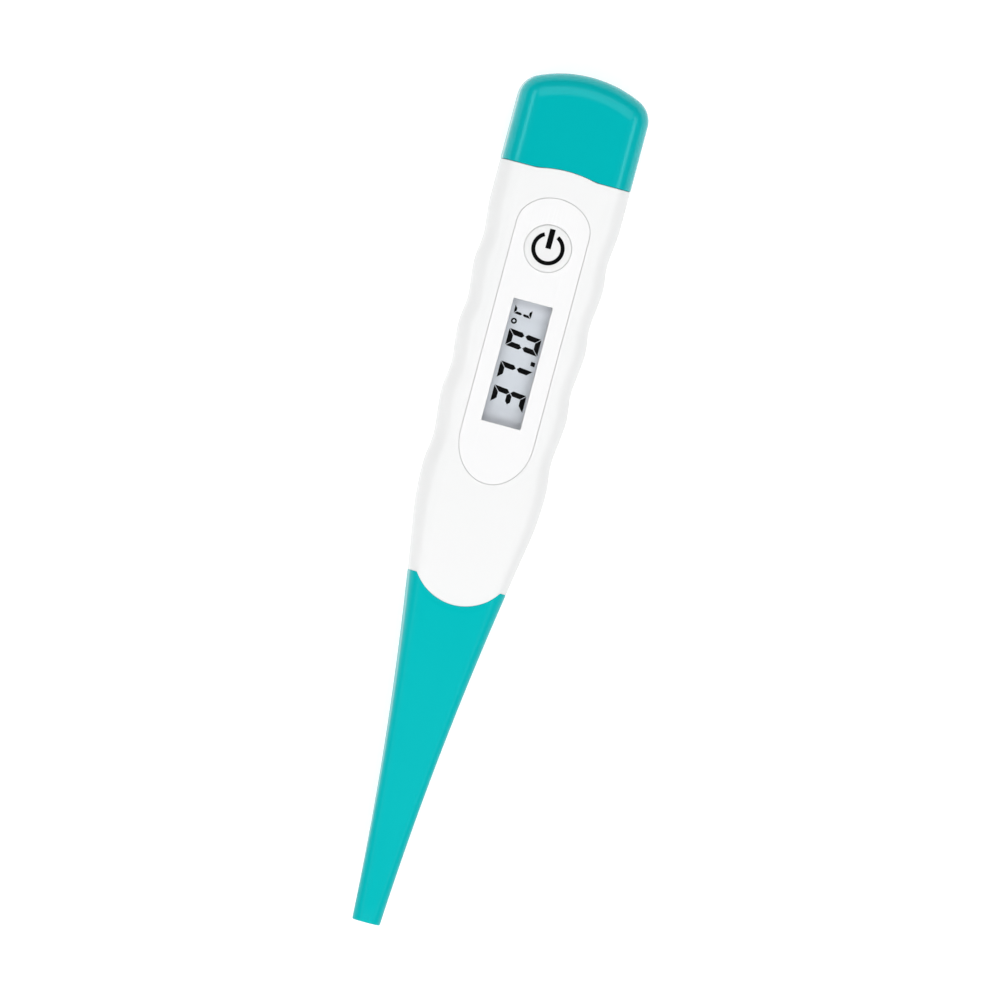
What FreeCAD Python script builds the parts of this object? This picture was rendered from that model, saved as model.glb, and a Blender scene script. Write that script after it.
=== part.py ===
# Flexible-tip digital clinical thermometer, built as separate pieces.
# It lies on its back: +X runs from the sensing tip to the battery cap, +Y is towards the tops of
# the display's digits and +Z leaves the display. The origin is under the middle of the length, on
# the surface that the back lies on. Stations are measured from the tip end along X, and each piece
# is shifted to the origin as it is saved.
import FreeCAD
import Part
import math
import os

V = FreeCAD.Vector

# ---------------------------------------------------------------- driving sizes, millimetres
sleeve_length = 47.1         # tip end to the housing's curved nose, at the middle
housing_length = 63.4        # nose to the straight sides of the cap's edge
cap_length = 14.5            # that edge to the end of the cap
body_thickness = 12.0        # back to face
body_corner = 3.4            # corner radius of the body's cross-section
face_trim = 0.005            # taken off the face and the back to leave them truly flat
cap_half_width = 9.5         # half the width at the cap and at the last crest of the grip
grip_half_width = 9.0        # half the width at the first crest of the grip
nose_half_width = 6.62       # half the width at the nose
tip_half_width = 2.05        # half the width at the sensing end
tip_flare = 0.045            # how fast the half width grows at the tip
tip_corner = 1.99            # corner radius at the sensing end, nearly round
sleeve_corner = 1.5          # corner radius of the sleeve at its middle
sleeve_corner_station = 24.0

shoulder_length = 11.0       # the sleeve's flare goes on this far past the nose
first_crest_offset = 17.9    # nose to the first crest of the wavy grip
last_crest_offset = 5.7      # last crest of the wavy grip to the cap's edge
grip_waves = 4
first_trough_depth = 0.48
last_trough_depth = 0.38
wave_crowding = 1.1          # above 1, the waves shorten towards the cap
wave_skew = 0.23             # above 0, each wave falls faster than it rises

nose_arc_radius = 7.4        # plan radius of the edge between sleeve and housing
nose_wing_length = 3.3       # how far the sleeve's sides reach past the nose
cap_edge_bulge = 0.55        # the housing's edge bulges towards the cap
cap_edge_bulge_half_width = 4.3

# walls and clearances
sleeve_wall = 1.3
cap_wall = 1.4
cap_end_wall = 2.5
spigot_wall = 1.0
shell_wall = 1.3             # front and back of the housing
side_wall = 1.6              # side of the housing, at a trough of the grip
bond_gap = 0.03              # glued and overmoulded faces
slide_gap = 0.1              # pieces that slide on each other
loose_gap = 0.15             # carrier in the housing

# nose of the housing
nose_spigot_length = 6.1     # how far the housing reaches into the sleeve
solid_nose_length = 8.9      # nose to the start of the hollow
wire_bore_radius = 0.9
weld_rib_width = 0.5
weld_rib_height = 0.8
cavity_corner = 1.2

# sealing ring round the cap's spigot
seal_offset = 2.55           # from the cap's edge
seal_width = 1.0
seal_depth = 0.45
spigot_corner = 1.9
spigot_inner_corner = 0.6

# battery cap, plan view
cap_end_radius = 18.0
cap_corner_plan = 3.6

# face panel, display window and button
panel_end_offset = 3.55      # end of the panel to the cap's edge
panel_half_width = 5.36
panel_long_end = 6.6         # elliptical end towards the tip
panel_short_end = 4.5        # elliptical end towards the cap
panel_thickness = 0.35
panel_gap = 0.06
window_offset = 8.65         # start of the panel to the window
window_length = 18.05
window_half_width = 2.9
lens_margin = 0.6
lens_thickness = 0.8
button_offset = 7.25         # end of the panel to the button's centre
button_radius = 3.45
button_gap = 0.08
button_travel = 0.5
button_crown = 0.2           # how far the button stands above the panel
button_disc_thickness = 1.3
button_edge = 0.35
button_bar_half_width = 1.0
button_bar_reach = 1.1       # how far its ears reach under the shell
button_bar_thickness = 0.55
plunger_radius = 1.0

# power mark, inlaid in the button
mark_radius = 2.1            # middle of the ring's line
mark_line = 0.58
mark_bar_width = 0.8
mark_bar_length = 2.86
mark_depth = 0.08
mark_gap_angle = 27.0        # half of the ring's opening, degrees

# circuit board and its carrier
board_lead = 6.7             # board's end to the window
board_thickness = 0.8
board_drop = 0.15            # top of the board below mid height
board_end_gap = 0.7          # board to the cap's edge
carrier_travel = 4.5
carrier_lead = 1.0           # carrier's end to the board's end
rail_width = 0.7
rail_drop = 0.5              # rail to the inside of the spigot
plate_thickness = 0.8
plate_drop = 1.45            # top of the plate below the top of the board
plate_end_offset = 6.5       # end of the plate to the cap's edge
ledge_width = 1.1
stake_radius = 0.45
stake_inset = 1.6
fork_wall = 1.5
fork_height_gap = 0.25
fork_end_wall = 0.75
fork_end_gap = 0.9           # end of the fork to the inside of the cap
web_length = 2.0

# display
display_lead = 1.8           # glass past the start of the window
display_tail = 1.7           # glass past the end of the window
display_margin = 1.0         # display frame to the board's edge
display_depth = 2.0          # front glass below the face
glass_thickness = 0.5
ink_thickness = 0.03
reflector_thickness = 0.12
bezel_wall = 0.6
bezel_lip = 0.2
bezel_lip_width = 0.5
strip_width = 1.0
strip_gap = 0.05

# digits of the display
digit_height = 4.85
digit_width = 2.5
digit_line = 0.74
digit_drop = 0.2             # the digits sit this far below the middle of the window
digit_slant = 0.105          # sideways lean over height
digit_gap = 0.07             # half the space between neighbouring segments
digit_offsets = (2.4, 5.95, 10.75)
digit_segments = ("abgcd", "abc", "abcdef")
point_offset = 9.2
point_side = 0.62
degree_offset = 14.45
degree_height = 1.9
degree_radius = 0.43
degree_line = 0.24
unit_offset = 15.7
unit_height = 2.6
unit_width = 1.25
unit_base = -0.35
unit_line = 0.36

# button cell, size LR41
cell_radius = 3.95
cell_thickness = 3.6
cell_cap_radius = 3.1
cell_cap_height = 0.5
cell_gasket_width = 0.3
cell_travel = 9.5
contact_thickness = 0.2
contact_half_width = 1.1
contact_crest = 0.2
contact_pad_length = 2.0
cap_travel = 30.0

# buzzer on the back of the housing
buzzer_lead = 3.3            # start of the window to the buzzer's centre
buzzer_side_gap = 1.7        # edge of the buzzer to the board's side
buzzer_thickness = 0.2
ceramic_rim = 1.4            # brass left bare round the ceramic
ceramic_thickness = 0.15
buzzer_spring_radius = 0.75
buzzer_spring_wire = 0.24
buzzer_spring_turns = 4
buzzer_spring_inset = 0.7    # second spring to the edge of the brass

# board furniture
dome_radius = 2.0
dome_height = 0.35
blob_side_gap = 1.25         # edge of the blob to the rubber strips
blob_height = 0.9
chip_size = (1.6, 0.8, 0.5)

# sensing tip
tip_recess = 0.05
cup_radius = 1.5
cup_wall = 0.2
cup_length = 6.0
cup_rim = 0.16
cup_rim_length = 0.5
bead_radius = 0.5
bead_length = 1.6
bead_gap = 0.25
epoxy_length = 4.6
wire_radius = 0.15
wire_half_pitch = 0.45
wire_slack = 4.2             # sideways reach of the slack in the wires
wire_slack_length = 7.5

# flexing of the probe: hinge stations, and what each notch leaves free
flex_stations = (34.0, 27.0, 20.0, 13.0)
flex_kinds = ("up", "side", "up", "side")
flex_angle = 25.0
flex_spare = 1.0
flex_apex_gap = {"up": 0.06, "side": 0.25}

# ---------------------------------------------------------------- worked-out places
nose_station = sleeve_length
cap_station = nose_station + housing_length
overall_length = cap_station + cap_length
mid_z = body_thickness / 2
far = overall_length

shoulder_station = nose_station + shoulder_length
first_crest = nose_station + first_crest_offset
last_crest = cap_station - last_crest_offset
straight_station = first_crest - 3.0
wing_station = nose_station + nose_wing_length
cavity_start = nose_station + solid_nose_length
nose_spigot_start = nose_station - nose_spigot_length

spigot_half_width = cap_half_width - cap_wall - slide_gap
spigot_half_height = mid_z - cap_wall - slide_gap
hollow_half_width = spigot_half_width - spigot_wall
hollow_half_height = spigot_half_height - spigot_wall
trough_half_width = grip_half_width - first_trough_depth
cavity_half_width = min(hollow_half_width, trough_half_width - side_wall + 0.1)
front_inner = body_thickness - shell_wall

panel_start = first_crest
panel_end = cap_station - panel_end_offset
panel_bottom = body_thickness - panel_thickness
window_start = panel_start + window_offset
window_end = window_start + window_length
lens_bottom = panel_bottom - lens_thickness
button_station = panel_end - button_offset
button_top = body_thickness + button_crown

carrier_half_width = hollow_half_width - loose_gap
rail_half_height = hollow_half_height - rail_drop
board_half_width = carrier_half_width - rail_width - 0.05
board_top = mid_z - board_drop
board_bottom = board_top - board_thickness
board_start = window_start - board_lead
board_end = cap_station - board_end_gap
carrier_start = board_start - carrier_lead
plate_top = board_top - plate_drop
plate_end = cap_station - plate_end_offset

cap_inner_end = overall_length - cap_end_wall
fork_end = cap_inner_end - fork_end_gap
cell_station = fork_end - fork_end_wall - cell_radius
spigot_end = cell_station - cell_radius + carrier_travel
fork_start = cap_station - 0.65
fork_half_width = min(cell_radius + slide_gap + fork_wall, carrier_half_width)
fork_half_height = hollow_half_height - fork_height_gap

display_start = window_start - display_lead
display_end = window_end + display_tail
bezel_half_width = board_half_width - display_margin
display_half_width = bezel_half_width - bezel_wall - strip_gap
display_top = body_thickness - display_depth
ink_bottom = display_top - glass_thickness - ink_thickness
rear_glass_bottom = ink_bottom - glass_thickness
reflector_bottom = rear_glass_bottom - reflector_thickness
dome_gap = button_travel + 0.1
plunger_bottom = board_top + dome_height + dome_gap
blob_radius = display_half_width - strip_width - blob_side_gap
buzzer_radius = board_half_width - buzzer_side_gap
ceramic_radius = buzzer_radius - ceramic_rim
buzzer_spring_offset = buzzer_radius - buzzer_spring_inset
buzzer_station = window_start + buzzer_lead
buzzer_bottom = shell_wall + bond_gap


# ---------------------------------------------------------------- shape of the body
def half_width(x):
    """Half the width of the body at a station, with the grip's waves."""
    growth = (nose_half_width - tip_half_width - tip_flare * nose_station) / nose_station ** 2
    if x <= shoulder_station:
        return tip_half_width + tip_flare * x + growth * x ** 2
    crest_slope = (cap_half_width - grip_half_width) / (last_crest - first_crest)
    if x <= first_crest:
        span = first_crest - shoulder_station
        share = (x - shoulder_station) / span
        start = tip_half_width + tip_flare * shoulder_station + growth * shoulder_station ** 2
        start_slope = (tip_flare + 2 * growth * shoulder_station) * span
        end_slope = crest_slope * span
        return (start * (1 + 2 * share) * (1 - share) ** 2
                + start_slope * share * (1 - share) ** 2
                + grip_half_width * share ** 2 * (3 - 2 * share)
                + end_slope * share ** 2 * (share - 1))
    if x >= last_crest:
        return cap_half_width
    share = (x - first_crest) / (last_crest - first_crest)
    turn = 2 * math.pi * grip_waves * share ** wave_crowding
    phase = turn + wave_skew * (1 - math.cos(turn))
    depth = first_trough_depth + (last_trough_depth - first_trough_depth) * share
    crest = grip_half_width + crest_slope * (x - first_crest)
    return crest - depth * (1 - math.cos(phase)) / 2


def half_height(x):
    """Half the thickness of the body at a station, before its face and back are trimmed flat."""
    share = min(x / straight_station, 1.0)
    growth = mid_z + face_trim - tip_half_width
    start = tip_flare * straight_station / growth
    rise = start * share + (3 - 2 * start) * share ** 2 + (start - 2) * share ** 3
    return tip_half_width + growth * rise


def corner_radius(x):
    """Corner radius of the cross-section: a parabola through tip, sleeve and straight body."""
    near = sleeve_corner_station
    end = straight_station
    bend = ((body_corner - tip_corner) / end - (sleeve_corner - tip_corner) / near) / (end - near)
    slope = (sleeve_corner - tip_corner) / near - bend * near
    place = min(x, end)
    return tip_corner + slope * place + bend * place ** 2


# ---------------------------------------------------------------- helpers
def box(x0, x1, y0, y1, z0, z1):
    """Box between two corners."""
    return Part.makeBox(x1 - x0, y1 - y0, z1 - z0, V(x0, y0, z0))


def pair_of_boxes(x0, x1, y0, y1, z0, z1):
    """The same box on both sides of the middle."""
    return box(x0, x1, y0, y1, z0, z1).fuse(box(x0, x1, -y1, -y0, z0, z1))


def rod_x(x0, x1, radius, y=0.0, z=mid_z):
    """Round bar along X."""
    return Part.makeCylinder(radius, x1 - x0, V(x0, y, z), V(1, 0, 0))


def rod_z(x, y, z0, z1, radius):
    """Round bar along Z."""
    return Part.makeCylinder(radius, z1 - z0, V(x, y, z0), V(0, 0, 1))


def joined(first, *others):
    """One solid from several that touch."""
    return first.multiFuse(list(others)).removeSplitter()


def chain(points):
    """Straight edges through the points."""
    return [Part.makeLine(a, b) for a, b in zip(points, points[1:])]


def arc(a, b, c):
    """Arc through three points."""
    return Part.Arc(a, b, c).toShape()


def plate(edges, z0, z1):
    """Closed plan outline, drawn at z = 0, raised between two heights."""
    face = Part.Face(Part.Wire(Part.__sortEdges__(edges)))
    return face.translated(V(0, 0, z0)).extrude(V(0, 0, z1 - z0))


def polygon_plate(points, z0, z1):
    """Plan polygon raised between two heights."""
    corners = [V(x, y, 0) for x, y in points]
    return plate(chain(corners + corners[:1]), z0, z1)


def section(x, wide, tall, radius):
    """Cross-section wire at a station: a rounded rectangle about the middle."""
    flat_y = wide - radius
    flat_z = tall - radius
    bend = radius * math.sqrt(0.5)
    corners = ((1, 1), (-1, 1), (-1, -1), (1, -1))
    arcs = []
    for side, level in corners:
        centre = V(x, side * flat_y, mid_z + level * flat_z)
        beside = centre + V(0, side * radius, 0)
        above = centre + V(0, 0, level * radius)
        middle = centre + V(0, side * bend, level * bend)
        ends = (beside, above) if side == level else (above, beside)
        arcs.append((ends[0], middle, ends[1]))
    edges = []
    for index, (start, middle, end) in enumerate(arcs):
        edges.append(arc(start, middle, end))
        edges.append(Part.makeLine(end, arcs[(index + 1) % 4][0]))
    return Part.Wire(edges)


def bar(x0, x1, wide, tall, radius):
    """Rounded rectangular bar along X."""
    return Part.Face(section(x0, wide, tall, radius)).extrude(V(x1 - x0, 0, 0))


def body_loft(stations, inset):
    """Skin through the body's cross-sections, moved inwards by inset."""
    wires = []
    for x in stations:
        radius = max(corner_radius(x) - inset, 0.3)
        wires.append(section(x, half_width(x) - inset, half_height(x) - inset, radius))
    return Part.makeLoft(wires, True)


def spread(start, end, count):
    """Evenly spaced stations, both ends among them."""
    return [start + (end - start) * step / (count - 1) for step in range(count)]


# ---------------------------------------------------------------- regions that share the body
def outer_body():
    """Whole outer shape from the tip to just past the cap's edge, trimmed flat on face and back."""
    stations = spread(0.0, straight_station, 14) + spread(straight_station, last_crest, 45)[1:]
    wavy = body_loft(stations, 0.0)
    straight = bar(last_crest, cap_station + 2.0, cap_half_width, mid_z + face_trim,
                   corner_radius(last_crest))
    slab = box(-1.0, far, -far, far, 0.0, body_thickness)
    return joined(wavy, straight).common(slab)


def sleeve_region(gap):
    """Everything on the sleeve's side of the curved nose edge."""
    centre = nose_station + nose_arc_radius
    block = box(-1.0, wing_station - gap, -far, far, -far, far)
    return block.cut(rod_z(centre, 0, -far, far, nose_arc_radius + gap))


def cap_region(gap):
    """Everything on the cap's side of its edge with the housing."""
    reach = cap_edge_bulge_half_width
    edge = cap_station + gap
    points = [V(edge, reach, 0), V(edge, far, 0), V(2 * far, far, 0), V(2 * far, -far, 0),
              V(edge, -far, 0), V(edge, -reach, 0)]
    bulge = arc(points[-1], V(edge + cap_edge_bulge, 0, 0), points[0])
    return plate(chain(points) + [bulge], -far, far)


def notch_region(station, kind, tipward, span):
    """One side of a hinge: both sides are cut back in a V so that the probe can bend there."""
    back = -1 if tipward else 1
    slope = math.tan(math.radians(flex_angle / 2 + flex_spare))
    apex = station + back * flex_apex_gap[kind] / 2
    corner = apex + back * span * slope
    end = station + back * far
    outline = [(end, -span), (corner, -span), (apex, 0), (corner, span), (end, span)]
    solid = polygon_plate(outline, -span, span)
    if kind == "up":
        solid.rotate(V(0, 0, 0), V(1, 0, 0), 90)
    return solid.translated(V(0, 0, mid_z))


def between_hinges(shape, index):
    """Part of a shape that belongs to one link of the probe, 0 beside the housing."""
    span = 12.0
    if index > 0:
        region = notch_region(flex_stations[index - 1], flex_kinds[index - 1], True, span)
        shape = shape.common(region)
    if index < len(flex_stations):
        region = notch_region(flex_stations[index], flex_kinds[index], False, span)
        shape = shape.common(region)
    return shape


# ---------------------------------------------------------------- housing
def nose_spigot(gap):
    """Stub of the housing inside the sleeve."""
    stations = spread(nose_spigot_start - gap, wing_station + 1.0, 5)
    return body_loft(stations, sleeve_wall - gap)


def cap_spigot():
    """Hollow stub that the cap slides over, with the groove for its seal."""
    start = cap_station - 1.5
    outer = bar(start, spigot_end, spigot_half_width, spigot_half_height, spigot_corner)
    seal_start = cap_station + seal_offset
    groove = bar(seal_start - slide_gap / 2, seal_start + seal_width + slide_gap / 2,
                 cap_half_width, mid_z, body_corner)
    core = bar(seal_start - 1.0, seal_start + seal_width + 1.0,
               spigot_half_width - seal_depth, spigot_half_height - seal_depth,
               spigot_corner - seal_depth)
    return outer.cut(groove.cut(core))


def whole_housing(body):
    """Both housing shells before they are split."""
    outer = body.cut(sleeve_region(0.0)).cut(cap_region(0.0))
    shell = outer.fuse(nose_spigot(0.0)).fuse(cap_spigot())
    cavity_end = cap_station - 1.5
    centre_height = front_inner - mid_z
    hollow = bar(cavity_start, cavity_end, cavity_half_width, centre_height, cavity_corner)
    throat = bar(cavity_end - 1.0, spigot_end + 1.0, hollow_half_width, hollow_half_height,
                 spigot_inner_corner)
    bore = rod_x(nose_spigot_start - 1.0, cavity_start + 1.0, wire_bore_radius)
    shell = shell.cut(hollow).cut(throat).cut(bore)
    guide_inner = carrier_half_width - rail_width
    lower = mid_z - rail_half_height - slide_gap
    upper = mid_z + rail_half_height + slide_gap
    reach = cavity_half_width + 0.3
    for bottom, top in ((shell_wall - 0.3, lower), (upper, front_inner + 0.3)):
        shell = shell.fuse(pair_of_boxes(carrier_start, cavity_end + 0.5, guide_inner, reach,
                                         bottom, top))
    return shell.removeSplitter()


def weld_rib(gap):
    """Tongue along both sides of the split between the housing shells."""
    inner = cavity_half_width + 0.45 - gap
    outer = inner + weld_rib_width + 2 * gap
    return pair_of_boxes(cavity_start, cap_station - 2.0, inner, outer, mid_z - 0.2,
                         mid_z + weld_rib_height + gap)


def panel_outline(grow):
    """Outline of the face panel: two straight sides and two half ellipses."""
    half = panel_half_width + grow
    left = panel_start + panel_long_end
    right = panel_end - panel_short_end
    long_end = panel_long_end + grow
    short_end = panel_short_end + grow
    ends = []
    for centre, reach, first in ((left, long_end, 90.0), (right, short_end, 270.0)):
        if reach >= half:
            ellipse = Part.Ellipse(V(centre, 0, 0), reach, half)
            start = math.radians(first)
            ends.append(ellipse.toShape(start, start + math.pi))
        else:
            ellipse = Part.Ellipse(V(centre, half, 0), V(centre + reach, 0, 0), V(centre, 0, 0))
            start = math.radians(first + 90.0)
            ends.append(ellipse.toShape(start, start + math.pi))
    edges = list(ends)
    edges.append(Part.makeLine(V(left, half, 0), V(right, half, 0)))
    edges.append(Part.makeLine(V(left, -half, 0), V(right, -half, 0)))
    return edges


def window_box(grow, z0, z1):
    """Window opening, larger by grow on each side."""
    wide = window_half_width + grow
    return box(window_start - grow, window_end + grow, -wide, wide, z0, z1)


def housing_shells(body):
    """Front shell with its openings, and rear shell with the weld rib."""
    whole = whole_housing(body)
    front = whole.common(box(-1, 2 * far, -far, far, mid_z, far))
    rear = whole.common(box(-1, 2 * far, -far, far, -far, mid_z)).fuse(weld_rib(0.0))
    front = front.cut(weld_rib(bond_gap))
    front = front.cut(plate(panel_outline(panel_gap), panel_bottom - bond_gap, far))
    front = front.cut(window_box(lens_margin + bond_gap, lens_bottom, far))
    front = front.cut(window_box(0.0, mid_z, far))
    front = front.cut(rod_z(button_station, 0, mid_z, far, button_radius + button_gap))
    return front, rear.removeSplitter()


def face_panel():
    """Thin inlaid panel round the window and the button."""
    panel = plate(panel_outline(0.0), panel_bottom, body_thickness)
    panel = panel.cut(window_box(0.0, 0.0, far))
    return panel.cut(rod_z(button_station, 0, 0.0, far, button_radius + button_gap))


def display_lens():
    """Clear window under the panel."""
    return window_box(lens_margin, lens_bottom + bond_gap, panel_bottom - bond_gap)


def cap_seal():
    """Rubber ring in the spigot's groove, just proud of it."""
    start = cap_station + seal_offset
    proud = slide_gap - 0.04
    ring = bar(start, start + seal_width, spigot_half_width + proud, spigot_half_height + proud,
               spigot_corner + proud)
    inset = seal_depth - bond_gap
    core = bar(start - 1.0, start + seal_width + 1.0, spigot_half_width - inset,
               spigot_half_height - inset, spigot_corner - inset)
    return ring.cut(core)


def battery_cap():
    """Soft-cornered cap that pulls off over the spigot."""
    end = overall_length
    start = cap_station - 1.0
    drop = cap_end_radius - math.sqrt(cap_end_radius ** 2 - cap_half_width ** 2)
    corner = V(end - drop, cap_half_width, 0)
    points = [V(start, corner.y, 0), corner]
    points_below = [V(start, -corner.y, 0), V(corner.x, -corner.y, 0)]
    edges = chain(points) + chain(points_below)
    edges.append(Part.makeLine(points[0], points_below[0]))
    edges.append(arc(corner, V(end, 0, 0), points_below[1]))
    solid = plate(edges, 0.0, body_thickness)
    upright = [edge for edge in solid.Edges if edge.BoundBox.ZLength > 1.0
               and edge.CenterOfMass.x > start + 1.0]
    solid = solid.makeFillet(cap_corner_plan, upright)
    rims = [edge for edge in solid.Edges if edge.BoundBox.ZLength < 0.001
            and edge.CenterOfMass.x > start + 0.01]
    solid = solid.makeFillet(body_corner, rims).common(cap_region(2 * bond_gap))
    inner_wide = cap_half_width - cap_wall
    inner_tall = mid_z - cap_wall
    hollow = bar(start - 1.0, spigot_end + 0.3, inner_wide, inner_tall, spigot_corner + slide_gap)
    deep = bar(spigot_end, cap_inner_end, fork_half_width + 0.45, fork_half_height + 0.25, 0.6)
    return solid.cut(hollow).cut(deep)


# ---------------------------------------------------------------- button
def power_button():
    """Round button with two ears under the shell and a plunger above the switch."""
    x = button_station
    disc_bottom = button_top - button_disc_thickness
    disc = rod_z(x, 0, disc_bottom, button_top, button_radius)
    rims = [edge for edge in disc.Edges if edge.CenterOfMass.z > button_top - 0.001
            and edge.BoundBox.ZLength < 0.001]
    disc = disc.makeFillet(button_edge, rims)
    bar_top = front_inner - slide_gap
    bar_bottom = bar_top - button_bar_thickness
    reach = button_radius + button_bar_reach
    half = button_bar_half_width
    ears = box(x - half, x + half, -reach, reach, bar_bottom, bar_top)
    neck = box(x - half, x + half, -button_radius * 0.9, button_radius * 0.9, bar_bottom,
               disc_bottom + 0.1)
    plunger = rod_z(x, 0, plunger_bottom, bar_bottom + 0.1, plunger_radius)
    return joined(disc, neck, ears, plunger).cut(power_mark())


def power_mark():
    """Open ring with a bar in its gap, the general sign for on and off."""
    x = button_station
    bottom = button_top - mark_depth
    outer = rod_z(x, 0, bottom, button_top, mark_radius + mark_line / 2)
    ring = outer.cut(rod_z(x, 0, 0, far, mark_radius - mark_line / 2))
    reach = 2 * mark_radius
    side = reach * math.tan(math.radians(mark_gap_angle))
    ring = ring.cut(polygon_plate([(x, 0), (x + reach, -side), (x + reach, side)], 0, far))
    wide = mark_bar_width / 2
    bar_solid = box(x, x + mark_bar_length, -wide, wide, bottom, button_top)
    return Part.makeCompound([ring, bar_solid])


# ---------------------------------------------------------------- board, display and carrier
def board_carrier():
    """Tray that holds the board and display, with the fork for the cell at its end."""
    rail_bottom = mid_z - rail_half_height
    rail_top = mid_z + rail_half_height
    web_end = fork_start + web_length
    inner = carrier_half_width - rail_width
    rails = pair_of_boxes(carrier_start, web_end, inner, carrier_half_width, rail_bottom,
                          rail_top)
    floor = box(carrier_start, plate_end, -inner - 0.1, inner + 0.1,
                plate_top - plate_thickness, plate_top)
    ledges = pair_of_boxes(carrier_start, fork_start, inner - ledge_width, inner + 0.1,
                           plate_top - plate_thickness, board_bottom)
    web = box(fork_start, web_end, -carrier_half_width, carrier_half_width, rail_bottom,
              rail_top)
    fork = box(fork_start, fork_end, -fork_half_width, fork_half_width,
               mid_z - fork_half_height, mid_z + fork_half_height)
    tray = joined(rails, floor, ledges, web, fork)
    slot_half = cell_radius + slide_gap
    slot_bottom = mid_z - cell_thickness / 2 - slide_gap
    slot_top = mid_z + cell_thickness / 2 + slide_gap
    tray = tray.cut(rod_z(cell_station, 0, slot_bottom, slot_top, slot_half))
    tray = tray.cut(box(cell_station, far * 2, -slot_half, slot_half, slot_bottom, slot_top))
    channel = contact_half_width + 0.2
    channel_end = cell_station + 2.5
    for low, high in ((slot_bottom - 0.65, slot_bottom + 0.1), (slot_top - 0.1, slot_top + 0.65)):
        tray = tray.cut(box(fork_start - 1.0, channel_end, -channel, channel, low, high))
    for offset in (0.0, buzzer_spring_offset):
        tray = tray.cut(rod_z(buzzer_station + offset, 0, 0, mid_z,
                              buzzer_spring_radius + 0.4))
    stakes = [rod_z(x, y, board_bottom - 0.1, board_top + 0.25, stake_radius)
              for x, y in stake_places()]
    return joined(tray, *stakes)


def stake_places():
    """Four heat-formed stakes near the board's corners."""
    side = board_half_width - stake_inset / 2
    return [(x, y) for x in (board_start + stake_inset, board_end - stake_inset)
            for y in (-side, side)]


def circuit_board():
    """Board with the stakes' holes."""
    board = box(board_start, board_end, -board_half_width, board_half_width, board_bottom,
                board_top)
    for x, y in stake_places():
        board = board.cut(rod_z(x, y, 0, far, stake_radius + 0.02))
    return board


def display_bezel():
    """Frame that clamps the glass and the rubber strips to the board."""
    start = display_start - bezel_wall - strip_gap
    end = display_end + bezel_wall + strip_gap
    outer = box(start, end, -bezel_half_width, bezel_half_width, board_top,
                display_top + bezel_lip + strip_gap)
    room = display_half_width + strip_gap
    inner = box(display_start - strip_gap, display_end + strip_gap, -room, room, 0,
                display_top + strip_gap)
    lip = display_half_width - bezel_lip_width
    opening = box(display_start + bezel_lip_width, display_end - bezel_lip_width, -lip, lip, 0,
                  far)
    return outer.cut(inner).cut(opening)


def display_sheet(bottom, thickness):
    """One flat layer of the display."""
    return box(display_start, display_end, -display_half_width, display_half_width, bottom,
               bottom + thickness)


def conducting_strips():
    """Two striped rubber strips that carry the board's contacts up to the glass."""
    outer = display_half_width
    inner = outer - strip_width
    return pair_of_boxes(display_start + 0.3, display_end - 0.3, inner, outer, board_top,
                         reflector_bottom)


def segment_outlines(wide, tall, line):
    """Outlines of a digit's seven segments, mitred at the corners and pointed in the middle."""
    gap = digit_gap
    half = line / 2
    waist = tall / 2
    top = [(gap, tall), (wide - gap, tall), (wide - line - gap, tall - line),
           (line + gap, tall - line)]
    upper = [(wide, tall - gap), (wide, waist + half + gap), (wide - half, waist + gap),
             (wide - line, waist + half + gap), (wide - line, tall - line - gap)]
    middle = [(half + gap, waist), (line + gap, waist + half), (wide - line - gap, waist + half),
              (wide - half - gap, waist), (wide - line - gap, waist - half),
              (line + gap, waist - half)]
    return {
        "a": top,
        "b": upper,
        "c": [(x, tall - y) for x, y in upper],
        "d": [(x, tall - y) for x, y in top],
        "e": [(wide - x, tall - y) for x, y in upper],
        "f": [(wide - x, y) for x, y in upper],
        "g": middle,
    }


def lit_segments(x, base, wide, tall, line, letters):
    """Lit segments of one digit, leaning over: a on top, then clockwise, with g in the middle."""
    outlines = segment_outlines(wide, tall, line)
    solids = []
    for letter in letters:
        leaned = [(x + px + digit_slant * py, base + py) for px, py in outlines[letter]]
        solids.append(polygon_plate(leaned, ink_bottom, ink_bottom + ink_thickness))
    return solids


def display_segments():
    """Dark segments between the two sheets of glass: a body temperature."""
    base = -digit_height / 2 - digit_drop
    solids = []
    for offset, letters in zip(digit_offsets, digit_segments):
        solids += lit_segments(window_start + offset, base, digit_width, digit_height,
                               digit_line, letters)
    ink_top = ink_bottom + ink_thickness
    left = window_start + point_offset
    lean = digit_slant * point_side
    point = [(left, base), (left + point_side, base), (left + point_side + lean, base + point_side),
             (left + lean, base + point_side)]
    solids.append(polygon_plate(point, ink_bottom, ink_top))
    ring_x = window_start + degree_offset + degree_radius
    ring = rod_z(ring_x, degree_height, ink_bottom, ink_top, degree_radius)
    solids.append(ring.cut(rod_z(ring_x, degree_height, 0, far, degree_radius - degree_line)))
    solids += lit_segments(window_start + unit_offset, unit_base, unit_width, unit_height,
                           unit_line, "adef")
    return Part.makeCompound(solids)


def dome(x, y, z, radius, height):
    """Shallow spherical dome standing on a plane."""
    ball_radius = (radius ** 2 + height ** 2) / (2 * height)
    ball = Part.makeSphere(ball_radius, V(x, y, z + height - ball_radius))
    return ball.common(box(x - radius, x + radius, y - radius, y + radius, z, z + height))


def board_chips():
    """Small parts soldered on the board between the display and the cell."""
    long_side, short_side, height = chip_size
    solids = []
    for row, y in enumerate((-4.1, 4.1)):
        for step in range(3):
            x = button_station - 2.4 + step * 2.4 + row * 0.6
            solids.append(box(x, x + long_side, y - short_side / 2, y + short_side / 2, board_top,
                              board_top + height))
    return Part.makeCompound(solids)


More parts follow.
